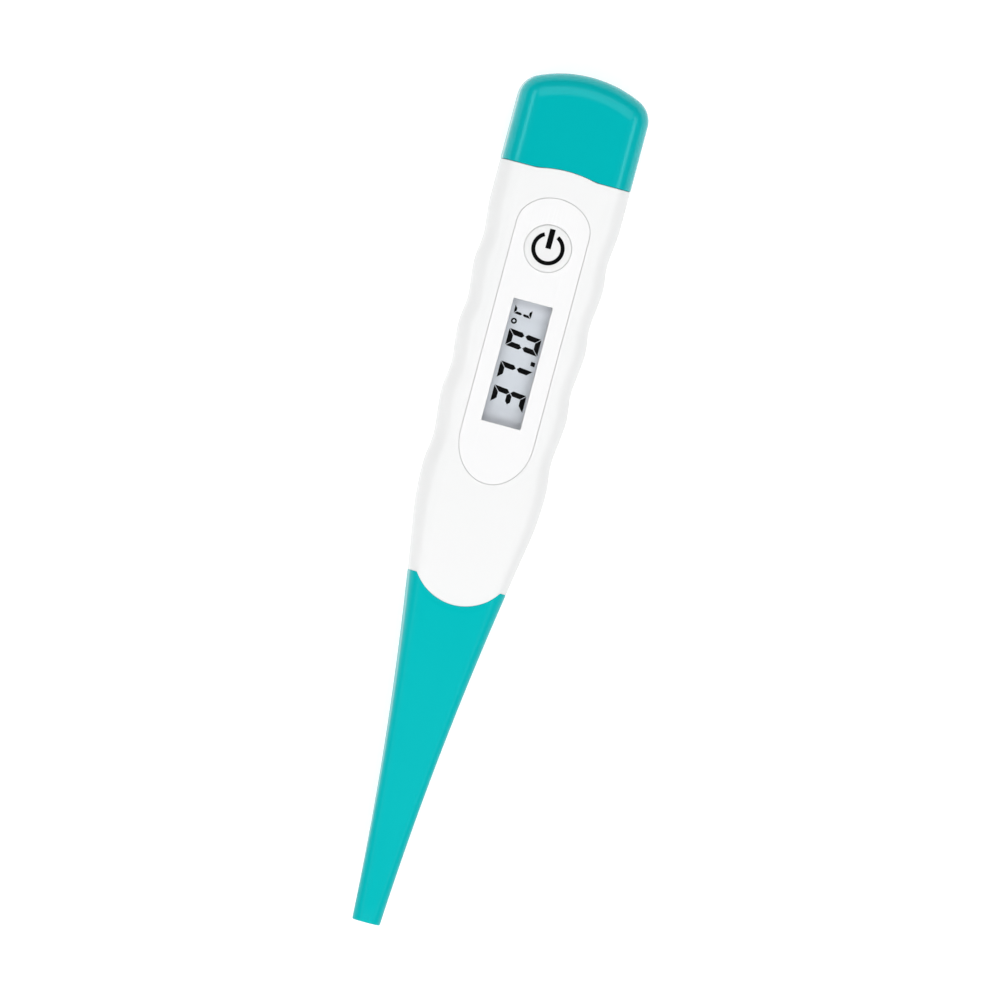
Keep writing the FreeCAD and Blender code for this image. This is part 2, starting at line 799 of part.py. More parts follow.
def solder_joints():
    """Solder over the ends of the two sensor wires, open underneath them."""
    solids = []
    for side in (-1, 1):
        x = board_start + 1.2
        y = side * wire_half_pitch
        joint = dome(x, y, board_top, 0.42, 0.42)
        joint = joint.cut(rod_x(board_start, x, wire_radius, y, board_top + wire_radius))
        joint = joint.cut(box(board_start, x, y - wire_radius, y + wire_radius, board_top - 1,
                              board_top + wire_radius))
        solids.append(joint)
    return Part.makeCompound(solids)


def contact(sign):
    """Leaf spring from the board to one face of the cell, above (+1) or below (-1)."""
    face = mid_z + sign * cell_thickness / 2
    half = contact_thickness / 2
    near = face + sign * (half + 0.01)
    rest = near + sign * contact_crest
    pad = board_top + half if sign > 0 else board_bottom - half
    start = board_end - contact_pad_length - 2.0
    path = [(start, pad), (start + contact_pad_length, pad), (fork_start - 0.2, rest),
            (cell_station - 2.0, rest), (cell_station, near), (cell_station + 1.5, rest)]
    solids = []
    for (ax, az), (bx, bz) in zip(path, path[1:]):
        length = math.hypot(bx - ax, bz - az)
        leaf = Part.makeBox(length, 2 * contact_half_width, contact_thickness,
                            V(0, -contact_half_width, -half))
        leaf.rotate(V(0, 0, 0), V(0, 1, 0), -math.degrees(math.atan2(bz - az, bx - ax)))
        solids.append(leaf.translated(V(ax, 0, az)))
        if (bx, bz) != path[-1]:
            knuckle = Part.makeCylinder(half, 2 * contact_half_width,
                                        V(bx, -contact_half_width, bz), V(0, 1, 0))
            solids.append(knuckle)
    return joined(*solids)


# ---------------------------------------------------------------- button cell
def cell_pieces():
    """Steel can with the positive face up, its seal, and the negative cap below."""
    bottom = mid_z - cell_thickness / 2
    top = mid_z + cell_thickness / 2
    can = rod_z(cell_station, 0, bottom + cell_cap_height, top, cell_radius)
    inner = cell_cap_radius + cell_gasket_width
    depth = 0.6
    can = can.cut(rod_z(cell_station, 0, 0, bottom + cell_cap_height + depth, inner))
    seal = rod_z(cell_station, 0, bottom + cell_cap_height / 2,
                 bottom + cell_cap_height + depth, inner)
    seal = seal.cut(rod_z(cell_station, 0, 0, far, cell_cap_radius))
    cover = rod_z(cell_station, 0, bottom, bottom + cell_cap_height + depth, cell_cap_radius)
    return can, seal, cover


# ---------------------------------------------------------------- buzzer
def buzzer_springs():
    """Two coil springs that carry current from the board to the buzzer."""
    solids = []
    for offset, thickness in ((0.0, buzzer_thickness + ceramic_thickness),
                              (buzzer_spring_offset, buzzer_thickness)):
        bottom = buzzer_bottom + thickness + 0.05 + buzzer_spring_wire / 2
        top = board_bottom - buzzer_spring_wire / 2
        height = top - bottom
        helix = Part.makeHelix(height / buzzer_spring_turns, height, buzzer_spring_radius)
        circle = Part.Wire(Part.makeCircle(buzzer_spring_wire / 2,
                                           V(buzzer_spring_radius, 0, 0), V(0, 1, 0)))
        spring = Part.Wire(helix).makePipeShell([circle], True, True)
        solids.append(spring.translated(V(buzzer_station + offset, 0, bottom)))
    return Part.makeCompound(solids)


# ---------------------------------------------------------------- probe
def whole_sleeve(body):
    """Rubber sleeve before it is divided at the hinges."""
    body = body.common(sleeve_region(bond_gap)).cut(nose_spigot(bond_gap))
    cup_end = tip_recess + cup_length
    body = body.cut(rod_x(-1.0, cup_end + bond_gap, cup_radius + bond_gap))
    rim_start = cup_end - cup_rim_length - bond_gap
    body = body.cut(rod_x(rim_start, cup_end + bond_gap, cup_radius + cup_rim + bond_gap))
    return body.cut(rod_x(cup_end, nose_station, wire_bore_radius))


def sensor_cup():
    """Thin steel cup, closed at the tip, with a turned rim that the rubber holds."""
    end = tip_recess + cup_length
    cup = rod_x(tip_recess, end, cup_radius)
    face = [edge for edge in cup.Edges if edge.CenterOfMass.x < tip_recess + 0.001]
    cup = cup.makeFillet(cup_wall, face)
    rim = rod_x(end - cup_rim_length, end, cup_radius + cup_rim)
    return joined(cup, rim).cut(rod_x(tip_recess + cup_wall, end + 1, cup_radius - cup_wall))


def sensor_bead():
    """Glass bead of the sensor, rounded at both ends: a profile turned about the probe's axis."""
    start = tip_recess + cup_wall + bead_gap
    end = start + bead_length
    bend = bead_radius * math.sqrt(0.5)
    edges = []
    for tip, inward in ((start, 1), (end, -1)):
        centre = tip + inward * bead_radius
        edges.append(arc(V(tip, 0, 0), V(centre - inward * bend, bend, 0),
                         V(centre, bead_radius, 0)))
    edges.append(Part.makeLine(V(start + bead_radius, bead_radius, 0),
                               V(end - bead_radius, bead_radius, 0)))
    edges.append(Part.makeLine(V(start, 0, 0), V(end, 0, 0)))
    face = Part.Face(Part.Wire(Part.__sortEdges__(edges)))
    bead = face.revolve(V(0, 0, 0), V(1, 0, 0), 360)
    return bead.translated(V(0, 0, mid_z))


def wires_straight(end):
    """Two straight wires from the bead to a station."""
    start = tip_recess + cup_wall + bead_gap + bead_length - 0.35
    return [rod_x(start, end, wire_radius, side * wire_half_pitch) for side in (-1, 1)]


def tip_filling():
    """Resin that holds the bead and the wires in the cup."""
    start = tip_recess + cup_wall
    filling = rod_x(start, start + epoxy_length, cup_radius - cup_wall)
    filling = filling.cut(sensor_bead())
    for wire in wires_straight(nose_station):
        filling = filling.cut(wire)
    return filling


def slack_path(side):
    """Line of one wire's slack, in straight runs joined by arcs."""
    start = cavity_start + 0.3
    end = start + wire_slack_length
    inset = 0.8
    near = side * wire_half_pitch
    high = side * wire_slack
    corners = [(cavity_start - 1.0, near), (start, near), (start + inset, high),
               (end - inset, high), (end, near), (board_start + 1.2, near)]
    z = board_top + wire_radius
    points = [V(x, y, z) for x, y in corners]
    edges = []
    last = points[0]
    for before, corner, after in zip(points, points[1:], points[2:]):
        back = (before - corner).normalize()
        ahead = (after - corner).normalize()
        turn = math.pi - back.getAngle(ahead)
        reach = 0.8 * math.tan(turn / 2) if turn < 2.0 else 0.9
        first = corner + back * reach
        second = corner + ahead * reach
        radius = reach / math.tan(turn / 2)
        towards = (back + ahead).normalize()
        middle = corner + towards * (radius / math.cos(turn / 2) - radius)
        edges.append(Part.makeLine(last, first))
        edges.append(arc(first, middle, second))
        last = second
    edges.append(Part.makeLine(last, points[-1]))
    return Part.Wire(edges)


def housing_wires():
    """Wires from the last hinge through the nose, with slack for the carrier's travel."""
    solids = []
    for side, rod in zip((-1, 1), wires_straight(cavity_start - 1.0)):
        front = between_hinges(rod, 0)
        path = slack_path(side)
        circle = Part.Wire(Part.makeCircle(wire_radius, path.Vertexes[0].Point, V(1, 0, 0)))
        slack = path.makePipeShell([circle], True, True)
        solids.append(front.fuse(slack))
    return Part.makeCompound(solids)


# ---------------------------------------------------------------- saving
def save(name, shape):
    """Write one piece to its own file, shifted to the origin."""
    solid = shape.translated(V(-overall_length / 2, 0, 0))
    solid.exportStep("parts/" + name + ".step")
    print(name, round(solid.Volume, 3), len(solid.Solids), solid.isValid())


def build():
    """Make and save every piece."""
    os.makedirs("parts", exist_ok=True)
    body = outer_body()
    front, rear = housing_shells(body)
    save("front_housing", front)
    save("rear_housing", rear)
    save("face_panel", face_panel())
    save("display_lens", display_lens())
    save("cap_seal", cap_seal())
    save("battery_cap", battery_cap())

    save("power_button", power_button())
    save("power_mark", power_mark())

    save("board_carrier", board_carrier())
    save("circuit_board", circuit_board())
    save("display_bezel", display_bezel())
    save("display_front_glass", display_sheet(display_top - glass_thickness, glass_thickness))
    save("display_segments", display_segments())
    save("display_rear_glass", display_sheet(rear_glass_bottom, glass_thickness))
    save("display_reflector", display_sheet(reflector_bottom, reflector_thickness))
    save("conducting_strips", conducting_strips())
    save("chip_blob", dome(window_start + window_length / 2, 0, board_top, blob_radius,
                           blob_height))
    save("board_chips", board_chips())
    save("switch_dome", dome(button_station, 0, board_top, dome_radius, dome_height))
    save("solder_joints", solder_joints())
    save("contact_positive", contact(1))
    save("contact_negative", contact(-1))

    can, seal, cover = cell_pieces()
    save("cell_can", can)
    save("cell_seal", seal)
    save("cell_cover", cover)

    plate_top_z = buzzer_bottom + buzzer_thickness
    save("buzzer_plate", rod_z(buzzer_station, 0, buzzer_bottom, plate_top_z, buzzer_radius))
    save("buzzer_ceramic", rod_z(buzzer_station, 0, plate_top_z,
                                 plate_top_z + ceramic_thickness, ceramic_radius))
    save("buzzer_springs", buzzer_springs())

    sleeve = whole_sleeve(body)
    wires = Part.makeCompound(wires_straight(nose_station))
    last = len(flex_stations)
    save("sleeve_base", between_hinges(sleeve, 0))
    save("sensor_wires", housing_wires())
    for index in range(1, last):
        save("sleeve_link_%d" % index, between_hinges(sleeve, index))
        save("wires_link_%d" % index, between_hinges(wires, index))
    save("sleeve_tip", between_hinges(sleeve, last))
    save("wires_tip", between_hinges(wires, last).cut(sensor_bead()))
    save("sensor_cup", sensor_cup())
    save("sensor_bead", sensor_bead())
    save("tip_filling", tip_filling())


build()
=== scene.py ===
import bpy
import bmesh
import math
from mathutils import Matrix, Vector


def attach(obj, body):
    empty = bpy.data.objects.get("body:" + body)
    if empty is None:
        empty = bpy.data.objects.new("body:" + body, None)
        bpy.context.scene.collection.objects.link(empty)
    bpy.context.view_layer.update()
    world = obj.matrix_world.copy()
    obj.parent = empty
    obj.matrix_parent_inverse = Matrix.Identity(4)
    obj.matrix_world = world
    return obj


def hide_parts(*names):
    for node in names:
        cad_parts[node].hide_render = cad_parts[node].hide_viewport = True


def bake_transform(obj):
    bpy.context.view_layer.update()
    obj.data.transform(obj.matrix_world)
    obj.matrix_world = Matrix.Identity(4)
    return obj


# Flexible-tip digital thermometer, lying on its back: the sensing tip towards -X, the cap towards
# +X, the tops of the digits towards +Y. Pieces are drawn in millimetres along the probe, measured
# from the tip end, and put in place in metres as each mesh is made.

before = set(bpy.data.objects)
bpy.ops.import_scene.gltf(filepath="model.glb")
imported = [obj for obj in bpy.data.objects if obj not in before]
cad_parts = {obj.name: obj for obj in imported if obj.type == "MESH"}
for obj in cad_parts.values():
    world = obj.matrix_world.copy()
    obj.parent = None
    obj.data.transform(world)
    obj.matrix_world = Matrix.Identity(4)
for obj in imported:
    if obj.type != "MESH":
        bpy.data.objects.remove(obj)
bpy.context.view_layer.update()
print("frame loaded")

mm = 0.001
body = {
    "length": 125.0,
    "midHeight": 6.0,          # the split between the housing shells
    "sleeveLength": 47.1,      # tip end to the housing's nose
    "capStation": 110.5,       # straight sides of the cap's edge
    "tipHalfWidth": 2.05,
    "tipFlare": 0.045,
    "noseHalfWidth": 6.62,
    "shoulderStation": 58.1,   # end of the straight flare
    "firstCrest": 65.0,
    "lastCrest": 104.8,
    "crestHalfWidth": 9.0,
    "capHalfWidth": 9.5,
    "waves": 4,
    "firstTrough": 0.48,
    "lastTrough": 0.38,
    "waveCrowding": 1.1,       # above 1, waves shorten towards the cap
    "waveSkew": 0.23,          # above 0, a wave falls faster than it rises
    "straightStation": 62.0,   # full thickness from here on
    "tipCorner": 1.99,
    "sleeveCorner": 1.5,
    "sleeveCornerStation": 24.0,
    "bodyCorner": 3.4,
    "leastCorner": 0.3,        # corner radius that an inner skin keeps
    "noseArcRadius": 7.4,      # plan radius of the edge between sleeve and housing
    "wingStation": 50.4,       # how far the sleeve's sides reach
    "capBulge": 0.55,          # the housing's edge bulges towards the cap
    "capBulgeHalfWidth": 4.3,
}
hinges = [34.0, 27.0, 20.0, 13.0]   # where the probe bends, from the housing outwards


# ---- shape of the body

def halfWidth(x):
    b = body
    base, flare, nose = b["tipHalfWidth"], b["tipFlare"], b["sleeveLength"]
    growth = (b["noseHalfWidth"] - base - flare * nose) / nose ** 2
    shoulder = b["shoulderStation"]
    if x <= shoulder:
        return base + flare * x + growth * x ** 2
    first, last = b["firstCrest"], b["lastCrest"]
    crestSlope = (b["capHalfWidth"] - b["crestHalfWidth"]) / (last - first)
    if x <= first:
        span = first - shoulder
        t = (x - shoulder) / span
        start = base + flare * shoulder + growth * shoulder ** 2
        startSlope = (flare + 2 * growth * shoulder) * span
        return (start * (1 + 2 * t) * (1 - t) ** 2 + startSlope * t * (1 - t) ** 2
                + b["crestHalfWidth"] * t ** 2 * (3 - 2 * t)
                + crestSlope * span * t ** 2 * (t - 1))
    if x >= last:
        return b["capHalfWidth"]
    t = (x - first) / (last - first)
    turn = 2 * math.pi * b["waves"] * t ** b["waveCrowding"]
    phase = turn + b["waveSkew"] * (1 - math.cos(turn))
    depth = b["firstTrough"] + (b["lastTrough"] - b["firstTrough"]) * t
    return b["crestHalfWidth"] + crestSlope * (x - first) - depth * (1 - math.cos(phase)) / 2


def halfHeight(x):
    end = body["straightStation"]
    t = min(x / end, 1.0)
    growth = body["midHeight"] - body["tipHalfWidth"]
    start = body["tipFlare"] * end / growth
    return body["tipHalfWidth"] + growth * (start * t + (3 - 2 * start) * t ** 2
                                            + (start - 2) * t ** 3)


def cornerRadius(x):
    near, end, tip = body["sleeveCornerStation"], body["straightStation"], body["tipCorner"]
    bend = ((body["bodyCorner"] - tip) / end - (body["sleeveCorner"] - tip) / near) / (end - near)
    slope = (body["sleeveCorner"] - tip) / near - bend * near
    place = min(x, end)
    return tip + slope * place + bend * place ** 2


def noseEdge(y):               # plan line between sleeve and housing
    radius = body["noseArcRadius"]
    if abs(y) >= radius:
        return body["wingStation"]
    arc = body["sleeveLength"] + radius - math.sqrt(radius ** 2 - y ** 2)
    return min(arc, body["wingStation"])


def capEdge(y):                # plan line between housing and cap
    reach, bulge = body["capBulgeHalfWidth"], body["capBulge"]
    if abs(y) >= reach:
        return body["capStation"]
    radius = (reach ** 2 + bulge ** 2) / (2 * bulge)
    return body["capStation"] + math.sqrt(radius ** 2 - y ** 2) - (radius - bulge)


def quarterPoint(wide, tall, radius, q):
    # a quarter of a rounded section; q runs 0 to 3: up the side, round the corner, along the top
    if q <= 1:
        return wide, (tall - radius) * q
    if q <= 2:
        angle = (q - 1) * math.pi / 2
        return (wide - radius + radius * math.cos(angle),
                tall - radius + radius * math.sin(angle))
    return (wide - radius) * (3 - q), tall


def ringPoint(x, spot, inset):
    side, level, q = spot
    radius = max(cornerRadius(x) - inset, body["leastCorner"])
    y, z = quarterPoint(halfWidth(x) - inset, halfHeight(x) - inset, radius, q)
    return side * y, body["midHeight"] + level * z


def sectionSpots(levels, sideSteps=4, cornerSteps=20, topSteps=8):
    # places round the cross-section: one half of it, or all of it
    steps = ([i / sideSteps for i in range(sideSteps)]
             + [1 + i / cornerSteps for i in range(cornerSteps)]
             + [2 + i / topSteps for i in range(topSteps + 1)])
    spots = [(1, 1, q) for q in steps] + [(-1, 1, q) for q in reversed(steps[:-1])]
    if levels == 2:
        spots += [(-1, -1, q) for q in steps[1:]] + [(1, -1, q) for q in reversed(steps[1:-1])]
    return spots


def settleOnEdge(edge, spot, inset, rounds=14):   # station where the skin meets a curved edge
    x = edge(0)
    for _ in range(rounds):
        x = edge(ringPoint(x, spot, inset)[0])
    return x


# ---- mesh helpers

mergeReach = 0.0001 * mm


def toMetres(x, y, z):
    return Vector(((x - body["length"] / 2) * mm, y * mm, z * mm))


def newPiece(name, mesh):
    piece = bpy.data.objects.new(name, mesh)
    bpy.context.scene.collection.objects.link(piece)
    return piece


def cleanMesh(mesh):
    # merges doubled points, drops what has no area and faces everything outwards
    build = bmesh.new()
    build.from_mesh(mesh)
    bmesh.ops.remove_doubles(build, verts=build.verts, dist=mergeReach)
    bmesh.ops.dissolve_degenerate(build, edges=build.edges, dist=mergeReach)
    bmesh.ops.recalc_face_normals(build, faces=build.faces)
    build.to_mesh(mesh)
    build.free()


def meshPiece(name, points, faces):
    mesh = bpy.data.meshes.new(name)
    mesh.from_pydata([toMetres(*p) for p in points], [], faces)
    cleanMesh(mesh)
    return newPiece(name, mesh)


def ringSolid(name, stacks, openEnd=False):
    # closed skins, each through a stack of rings that have the same number of points
    points, faces = [], []
    for rings in stacks:
        count, offset = len(rings[0]), len(points)
        points += [p for ring in rings for p in ring]
        for i in range(len(rings) - 1):
            a, b = offset + i * count, offset + (i + 1) * count
            faces += [(a + j, a + (j + 1) % count, b + (j + 1) % count, b + j)
                      for j in range(count)]
        faces.append(tuple(range(offset, offset + count)))
        if not openEnd:
            faces.append(tuple(range(len(points) - count, len(points))))
    return meshPiece(name, points, faces)


def thickSheet(name, outer, inner, around):
    # closed wall between two grids of points with the same rows and columns
    rows, columns = len(outer), len(outer[0])
    points = [p for row in outer for p in row] + [p for row in inner for p in row]
    under = rows * columns
    last = columns if around else columns - 1
    faces = []
    for i in range(rows - 1):
        for j in range(last):
            k = (j + 1) % columns
            a, b, c, d = (i * columns + j, i * columns + k, (i + 1) * columns + k,
                          (i + 1) * columns + j)
            faces += [(a, b, c, d), (d + under, c + under, b + under, a + under)]
    for i in (0, rows - 1):
        for j in range(last):
            k = (j + 1) % columns
            a, b = i * columns + j, i * columns + k
            faces.append((a, b, b + under, a + under))
    if not around:
        for j in (0, columns - 1):
            for i in range(rows - 1):
                a, b = i * columns + j, (i + 1) * columns + j
                faces.append((a, b, b + under, a + under))
    return meshPiece(name, points, faces)


def prism(name, outline, low, high):
    return ringSolid(name, [[[(x, y, z) for x, y in outline] for z in (low, high)]])


def barRings(x0, x1, wide, tall, radius, levels):
    # the two ends of a rounded bar along X
    rings = []
    for x in (x0, x1):
        ring = []
        for side, level, q in sectionSpots(levels, 2, 8, 4):
            y, z = quarterPoint(wide, tall, radius, q)
            ring.append((x, side * y, body["midHeight"] + level * z))
        rings.append(ring)
    return rings


def solidBar(name, x0, x1, wide, tall, radius):
    return ringSolid(name, [barRings(x0, x1, wide, tall, radius, 2)])


def evaluatedMesh(piece):
    graph = bpy.context.evaluated_depsgraph_get()
    return bpy.data.meshes.new_from_object(piece.evaluated_get(graph))


def freeze(piece):             # keeps the shape and drops the modifiers
    mesh = evaluatedMesh(piece)
    piece.modifiers.clear()
    old = piece.data
    piece.data = mesh
    bpy.data.meshes.remove(old)
    return piece


def combine(piece, other, operation):
    change = piece.modifiers.new("combine", "BOOLEAN")
    change.operation = operation
    change.solver = "EXACT"
    change.object = other
    freeze(piece)
    bpy.data.objects.remove(other)
    return piece


def heal(piece):
    # cuts many-sided faces into triangles and closes the slivers that a cut leaves
    build = bmesh.new()
    build.from_mesh(piece.data)
    many = [face for face in build.faces if len(face.verts) > 4]
    bmesh.ops.triangulate(build, faces=many, ngon_method="BEAUTY")
    bmesh.ops.dissolve_degenerate(build, edges=build.edges, dist=mergeReach)
    build.to_mesh(piece.data)
    build.free()


def smooth(piece, angle=32, weighted=False):
    # a piece that was cut is healed, and weighted normals keep its flat faces flat
    if weighted:
        heal(piece)
    piece.data.shade_smooth()
    piece.data.set_sharp_from_angle(angle=math.radians(angle))
    if weighted:
        even = piece.modifiers.new("evenNormals", "WEIGHTED_NORMAL")
        even.keep_sharp = True
        even.weight = 100
        freeze(piece)
    return piece


def dress(piece, finish):
    piece.data.materials.clear()
    piece.data.materials.append(finish)
    return piece


# ---- materials

wavePeriod = 0.314             # metres between the bands of a wave texture of scale 1
surface = {
    "plasticIndex": 1.5, "sheetIndex": 1.49,         # indices of refraction
    "driftSize": 14.0, "hazeSize": 4.0,              # mm over which a colour drifts
    "glossSwing": 0.04, "hazeSwing": 0.05, "metalPolish": 0.06, "metalWear": 0.1,
    "textureStrength": 0.35,
}


def colour(code):              # sRGB hex to linear
    parts = [int(code[i:i + 2], 16) / 255 for i in (1, 3, 5)]
    return tuple(c / 12.92 if c <= 0.04045 else ((c + 0.055) / 1.055) ** 2.4
                 for c in parts) + (1.0,)


def addNode(tree, kind, settings=None, inputs=None, links=None):
    node = tree.nodes.new(kind)
    for key, value in (settings or {}).items():
        setattr(node, key, value)
    for key, value in (inputs or {}).items():
        node.inputs[key].default_value = value
    for key, source in (links or {}).items():
        tree.links.new(source, node.inputs[key])
    return node


def newMaterial(name, **sockets):
    material = bpy.data.materials.new(name)
    material.use_nodes = True
    tree = material.node_tree
    shader = tree.nodes["Principled BSDF"]
    for key, value in sockets.items():
        shader.inputs[key].default_value = value
    spot = addNode(tree, "ShaderNodeTexCoord").outputs["Object"]
    return material, tree, shader, spot


def addNoise(tree, spot, size, detail=2.0):
    # noise with features of the given size in mm
    return addNode(tree, "ShaderNodeTexNoise", None, {"Scale": 1 / (size * mm), "Detail": detail},
                   {"Vector": spot}).outputs["Fac"]


def paint(tree, shader, firstHex, secondHex, share):
    # base colour between two tones
    tint = addNode(tree, "ShaderNodeMix", {"data_type": "RGBA"},
                   {"A": colour(firstHex), "B": colour(secondHex)}, {"Factor": share})
    tree.links.new(tint.outputs["Result"], shader.inputs["Base Color"])


def varyGloss(tree, shader, low, high, share):
    gloss = addNode(tree, "ShaderNodeMapRange", None, {"To Min": low, "To Max": high},
                    {"Value": share})
    tree.links.new(gloss.outputs["Result"], shader.inputs["Roughness"])


def moulded(name, baseHex, shadeHex, roughness, grain, depth, specular=0.5,
            glintHex="#FFFFFF"):
    # moulded plastic or rubber: an even colour that drifts slightly, a fine tool texture of the
    # given grain in mm, and gloss that varies a little over the surface
    material, tree, shader, spot = newMaterial(name, Roughness=roughness)
    shader.inputs["IOR"].default_value = surface["plasticIndex"]
    shader.inputs["Specular IOR Level"].default_value = specular
    shader.inputs["Specular Tint"].default_value = colour(glintHex)
    paint(tree, shader, baseHex, shadeHex, addNoise(tree, spot, surface["driftSize"], 3.0))
    fine, swing = addNoise(tree, spot, grain), surface["glossSwing"]
    varyGloss(tree, shader, roughness - swing, roughness + swing, fine)
    bump = addNode(tree, "ShaderNodeBump", None,
                   {"Strength": surface["textureStrength"], "Distance": depth * mm},
                   {"Height": fine})
    tree.links.new(bump.outputs["Normal"], shader.inputs["Normal"])
    return material


def clearSheet(name, tintHex, hazeHex, alpha, roughness):
    # clear cast or cut sheet: nearly all see-through, with the film of a wipe mark in its gloss;
    # its own colour is dark, so that it doesn't grey what lies under it
    material, tree, shader, spot = newMaterial(name, Roughness=roughness, Alpha=alpha)
    shader.inputs["IOR"].default_value = surface["sheetIndex"]
    haze = addNoise(tree, spot, surface["hazeSize"], 3.0)
    varyGloss(tree, shader, roughness, roughness + surface["hazeSwing"], haze)
    paint(tree, shader, tintHex, hazeHex, haze)
    return material


def metal(name, baseHex, shadeHex, roughness, grain, stretch=(1, 1, 1)):
    # drawn, rolled or plated metal: fine lines or specks of the given grain in mm
    material, tree, shader, spot = newMaterial(name, Metallic=1.0, Roughness=roughness)
    lay = addNode(tree, "ShaderNodeMapping", None, {"Scale": stretch}, {"Vector": spot})
    lines = addNoise(tree, lay.outputs["Vector"], grain, 4.0)
    paint(tree, shader, baseHex, shadeHex, lines)
    varyGloss(tree, shader, roughness - surface["metalPolish"], roughness + surface["metalWear"],
              lines)
    return material


# white ABS: a clean white with a faint satin tool texture
whiteAbs = moulded("whiteMouldedAbs", "#DEDEDE", "#DCDDDD", 0.34, 0.35, 0.004, specular=0.3)
panelAbs = moulded("satinPanelAbs", "#E0E0E0", "#DEDEDF", 0.42, 0.25, 0.004, specular=0.3)
buttonAbs = moulded("buttonAbs", "#DADADA", "#D8D9D9", 0.38, 0.25, 0.004, specular=0.3)
# teal ABS is glossier than the teal rubber; both give a tinted glint
tealAbs = moulded("tealMouldedAbs", "#00A6A9", "#00A3A6", 0.20, 0.30, 0.002, specular=0.34,
                  glintHex="#A9FFFF")
tealRubber = moulded("tealElastomer", "#00ABAD", "#00A8AB", 0.30, 0.22, 0.004, specular=0.12,
                     glintHex="#A9FFFF")
# off-white tray ABS with a coarser texture; dull black silicone; glossy red wire skin
carrierAbs = moulded("trayAbs", "#E0E0DC", "#D9D9D4", 0.45, 0.4, 0.01)
sealRubber = moulded("blackSiliconeSeal", "#141414", "#1E1E1F", 0.55, 0.3, 0.01)
wireSkin = moulded("redWireInsulation", "#B5231D", "#A51C18", 0.4, 0.2, 0.004)
# flat deep black of pad-printed ink and of switched liquid crystal
inkBlack = moulded("printedBlackInk", "#020202", "#040405", 0.45, 0.15, 0.003, specular=0.05)
crystalDark = moulded("switchedLiquidCrystal", "#020203", "#040405", 0.5, 0.2, 0.001,
                      specular=0.05)
# wet black epoxy over the chip, and matt fired ceramics
epoxyBlack = moulded("castBlackEpoxy", "#0D0D0E", "#171718", 0.22, 0.8, 0.02)
chipBrown = moulded("firedChipCeramic", "#6B5038", "#8C7A62", 0.5, 0.5, 0.01)
piezoCeramic = moulded("silveredPiezoCeramic", "#D9D6C8", "#C9C7BC", 0.4, 0.3, 0.006)
# milky nylon, honey-coloured resin and the green glass of the bead
nylonSeal = moulded("nylonCellSeal", "#D8D8CC", "#CFCFC2", 0.5, 0.3, 0.006)
resin = moulded("curedClearResin", "#BFAE7E", "#B3A170", 0.2, 0.6, 0.01)
beadGlass = moulded("sensorGlassBead", "#5E7350", "#4F6445", 0.1, 0.4, 0.002)
# clear window and front glass: only their gloss shows
acrylic = clearSheet("clearAcrylicWindow", "#4E5454", "#5E6464", 0.006, 0.05)
frontGlass = clearSheet("displayCutGlass", "#4A5050", "#5A6060", 0.004, 0.08)
# metals: rolling and drawing lines, stamped brass, dull solder and a pale foil
springSteel = metal("rolledSpringSteel", "#B9B9B4", "#A3A39F", 0.3, 0.25, (0.1, 1, 1))
cellSteel = metal("nickelPlatedSteel", "#C6C5C0", "#B7B6B2", 0.25, 0.2, (1, 1, 0.1))
cupSteel = metal("drawnStainlessCup", "#C2C2BF", "#AFAFAD", 0.28, 0.2, (0.1, 1, 1))
brass = metal("stampedBrass", "#C9A55A", "#B9954C", 0.32, 0.3)
solder = metal("reflowedSolder", "#C8C8CC", "#B4B4BA", 0.35, 0.4)
foil = metal("silveredReflectorFoil", "#D9DADA", "#CDCECF", 0.4, 0.6)


def laminateMaterial():
    # glass laminate under green solder mask: a faint 0.4 mm weave and a wet gloss
    material, tree, shader, spot = newMaterial("greenBoardLaminate", Roughness=0.3)
    shader.inputs["Coat Weight"].default_value = 0.4
    waves = [addNode(tree, "ShaderNodeTexWave", {"bands_direction": way},
                     {"Scale": wavePeriod / (0.4 * mm), "Distortion": 0.4}, {"Vector": spot})
             for way in ("X", "Y")]
    weave = addNode(tree, "ShaderNodeMath", {"operation": "MULTIPLY"}, None,
                    {0: waves[0].outputs["Fac"], 1: waves[1].outputs["Fac"]})
    paint(tree, shader, "#0F5A2C", "#1B7A3F", weave.outputs["Value"])
    return material


def stripedSiliconeMaterial():
    # silicone laid in carbon and clear layers, 0.18 mm each, that show as fine stripes
    material, tree, shader, spot = newMaterial("stripedContactSilicone", Roughness=0.5)
    stripes = addNode(tree, "ShaderNodeTexWave", {"bands_direction": "X"},
                      {"Scale": wavePeriod / (0.36 * mm)}, {"Vector": spot})
    cut = addNode(tree, "ShaderNodeMath", {"operation": "GREATER_THAN"}, {1: 0.5},
                  {0: stripes.outputs["Fac"]})
    paint(tree, shader, "#D79A9A", "#1A1718", cut.outputs["Value"])
    return material


display = {
    "start": 73.65, "end": 91.7, "halfWidth": 2.9,   # the window
    # the end colour and its fade are painted light: paler film towards the window's ends, where
    # the window's end walls shade it
    "paintedLightEndHex": "#F0F5FD", "middleHex": "#D4DAE1", "paintedLightFadeStart": 0.8, "paintedLightFadeEnd": 2.8,
}


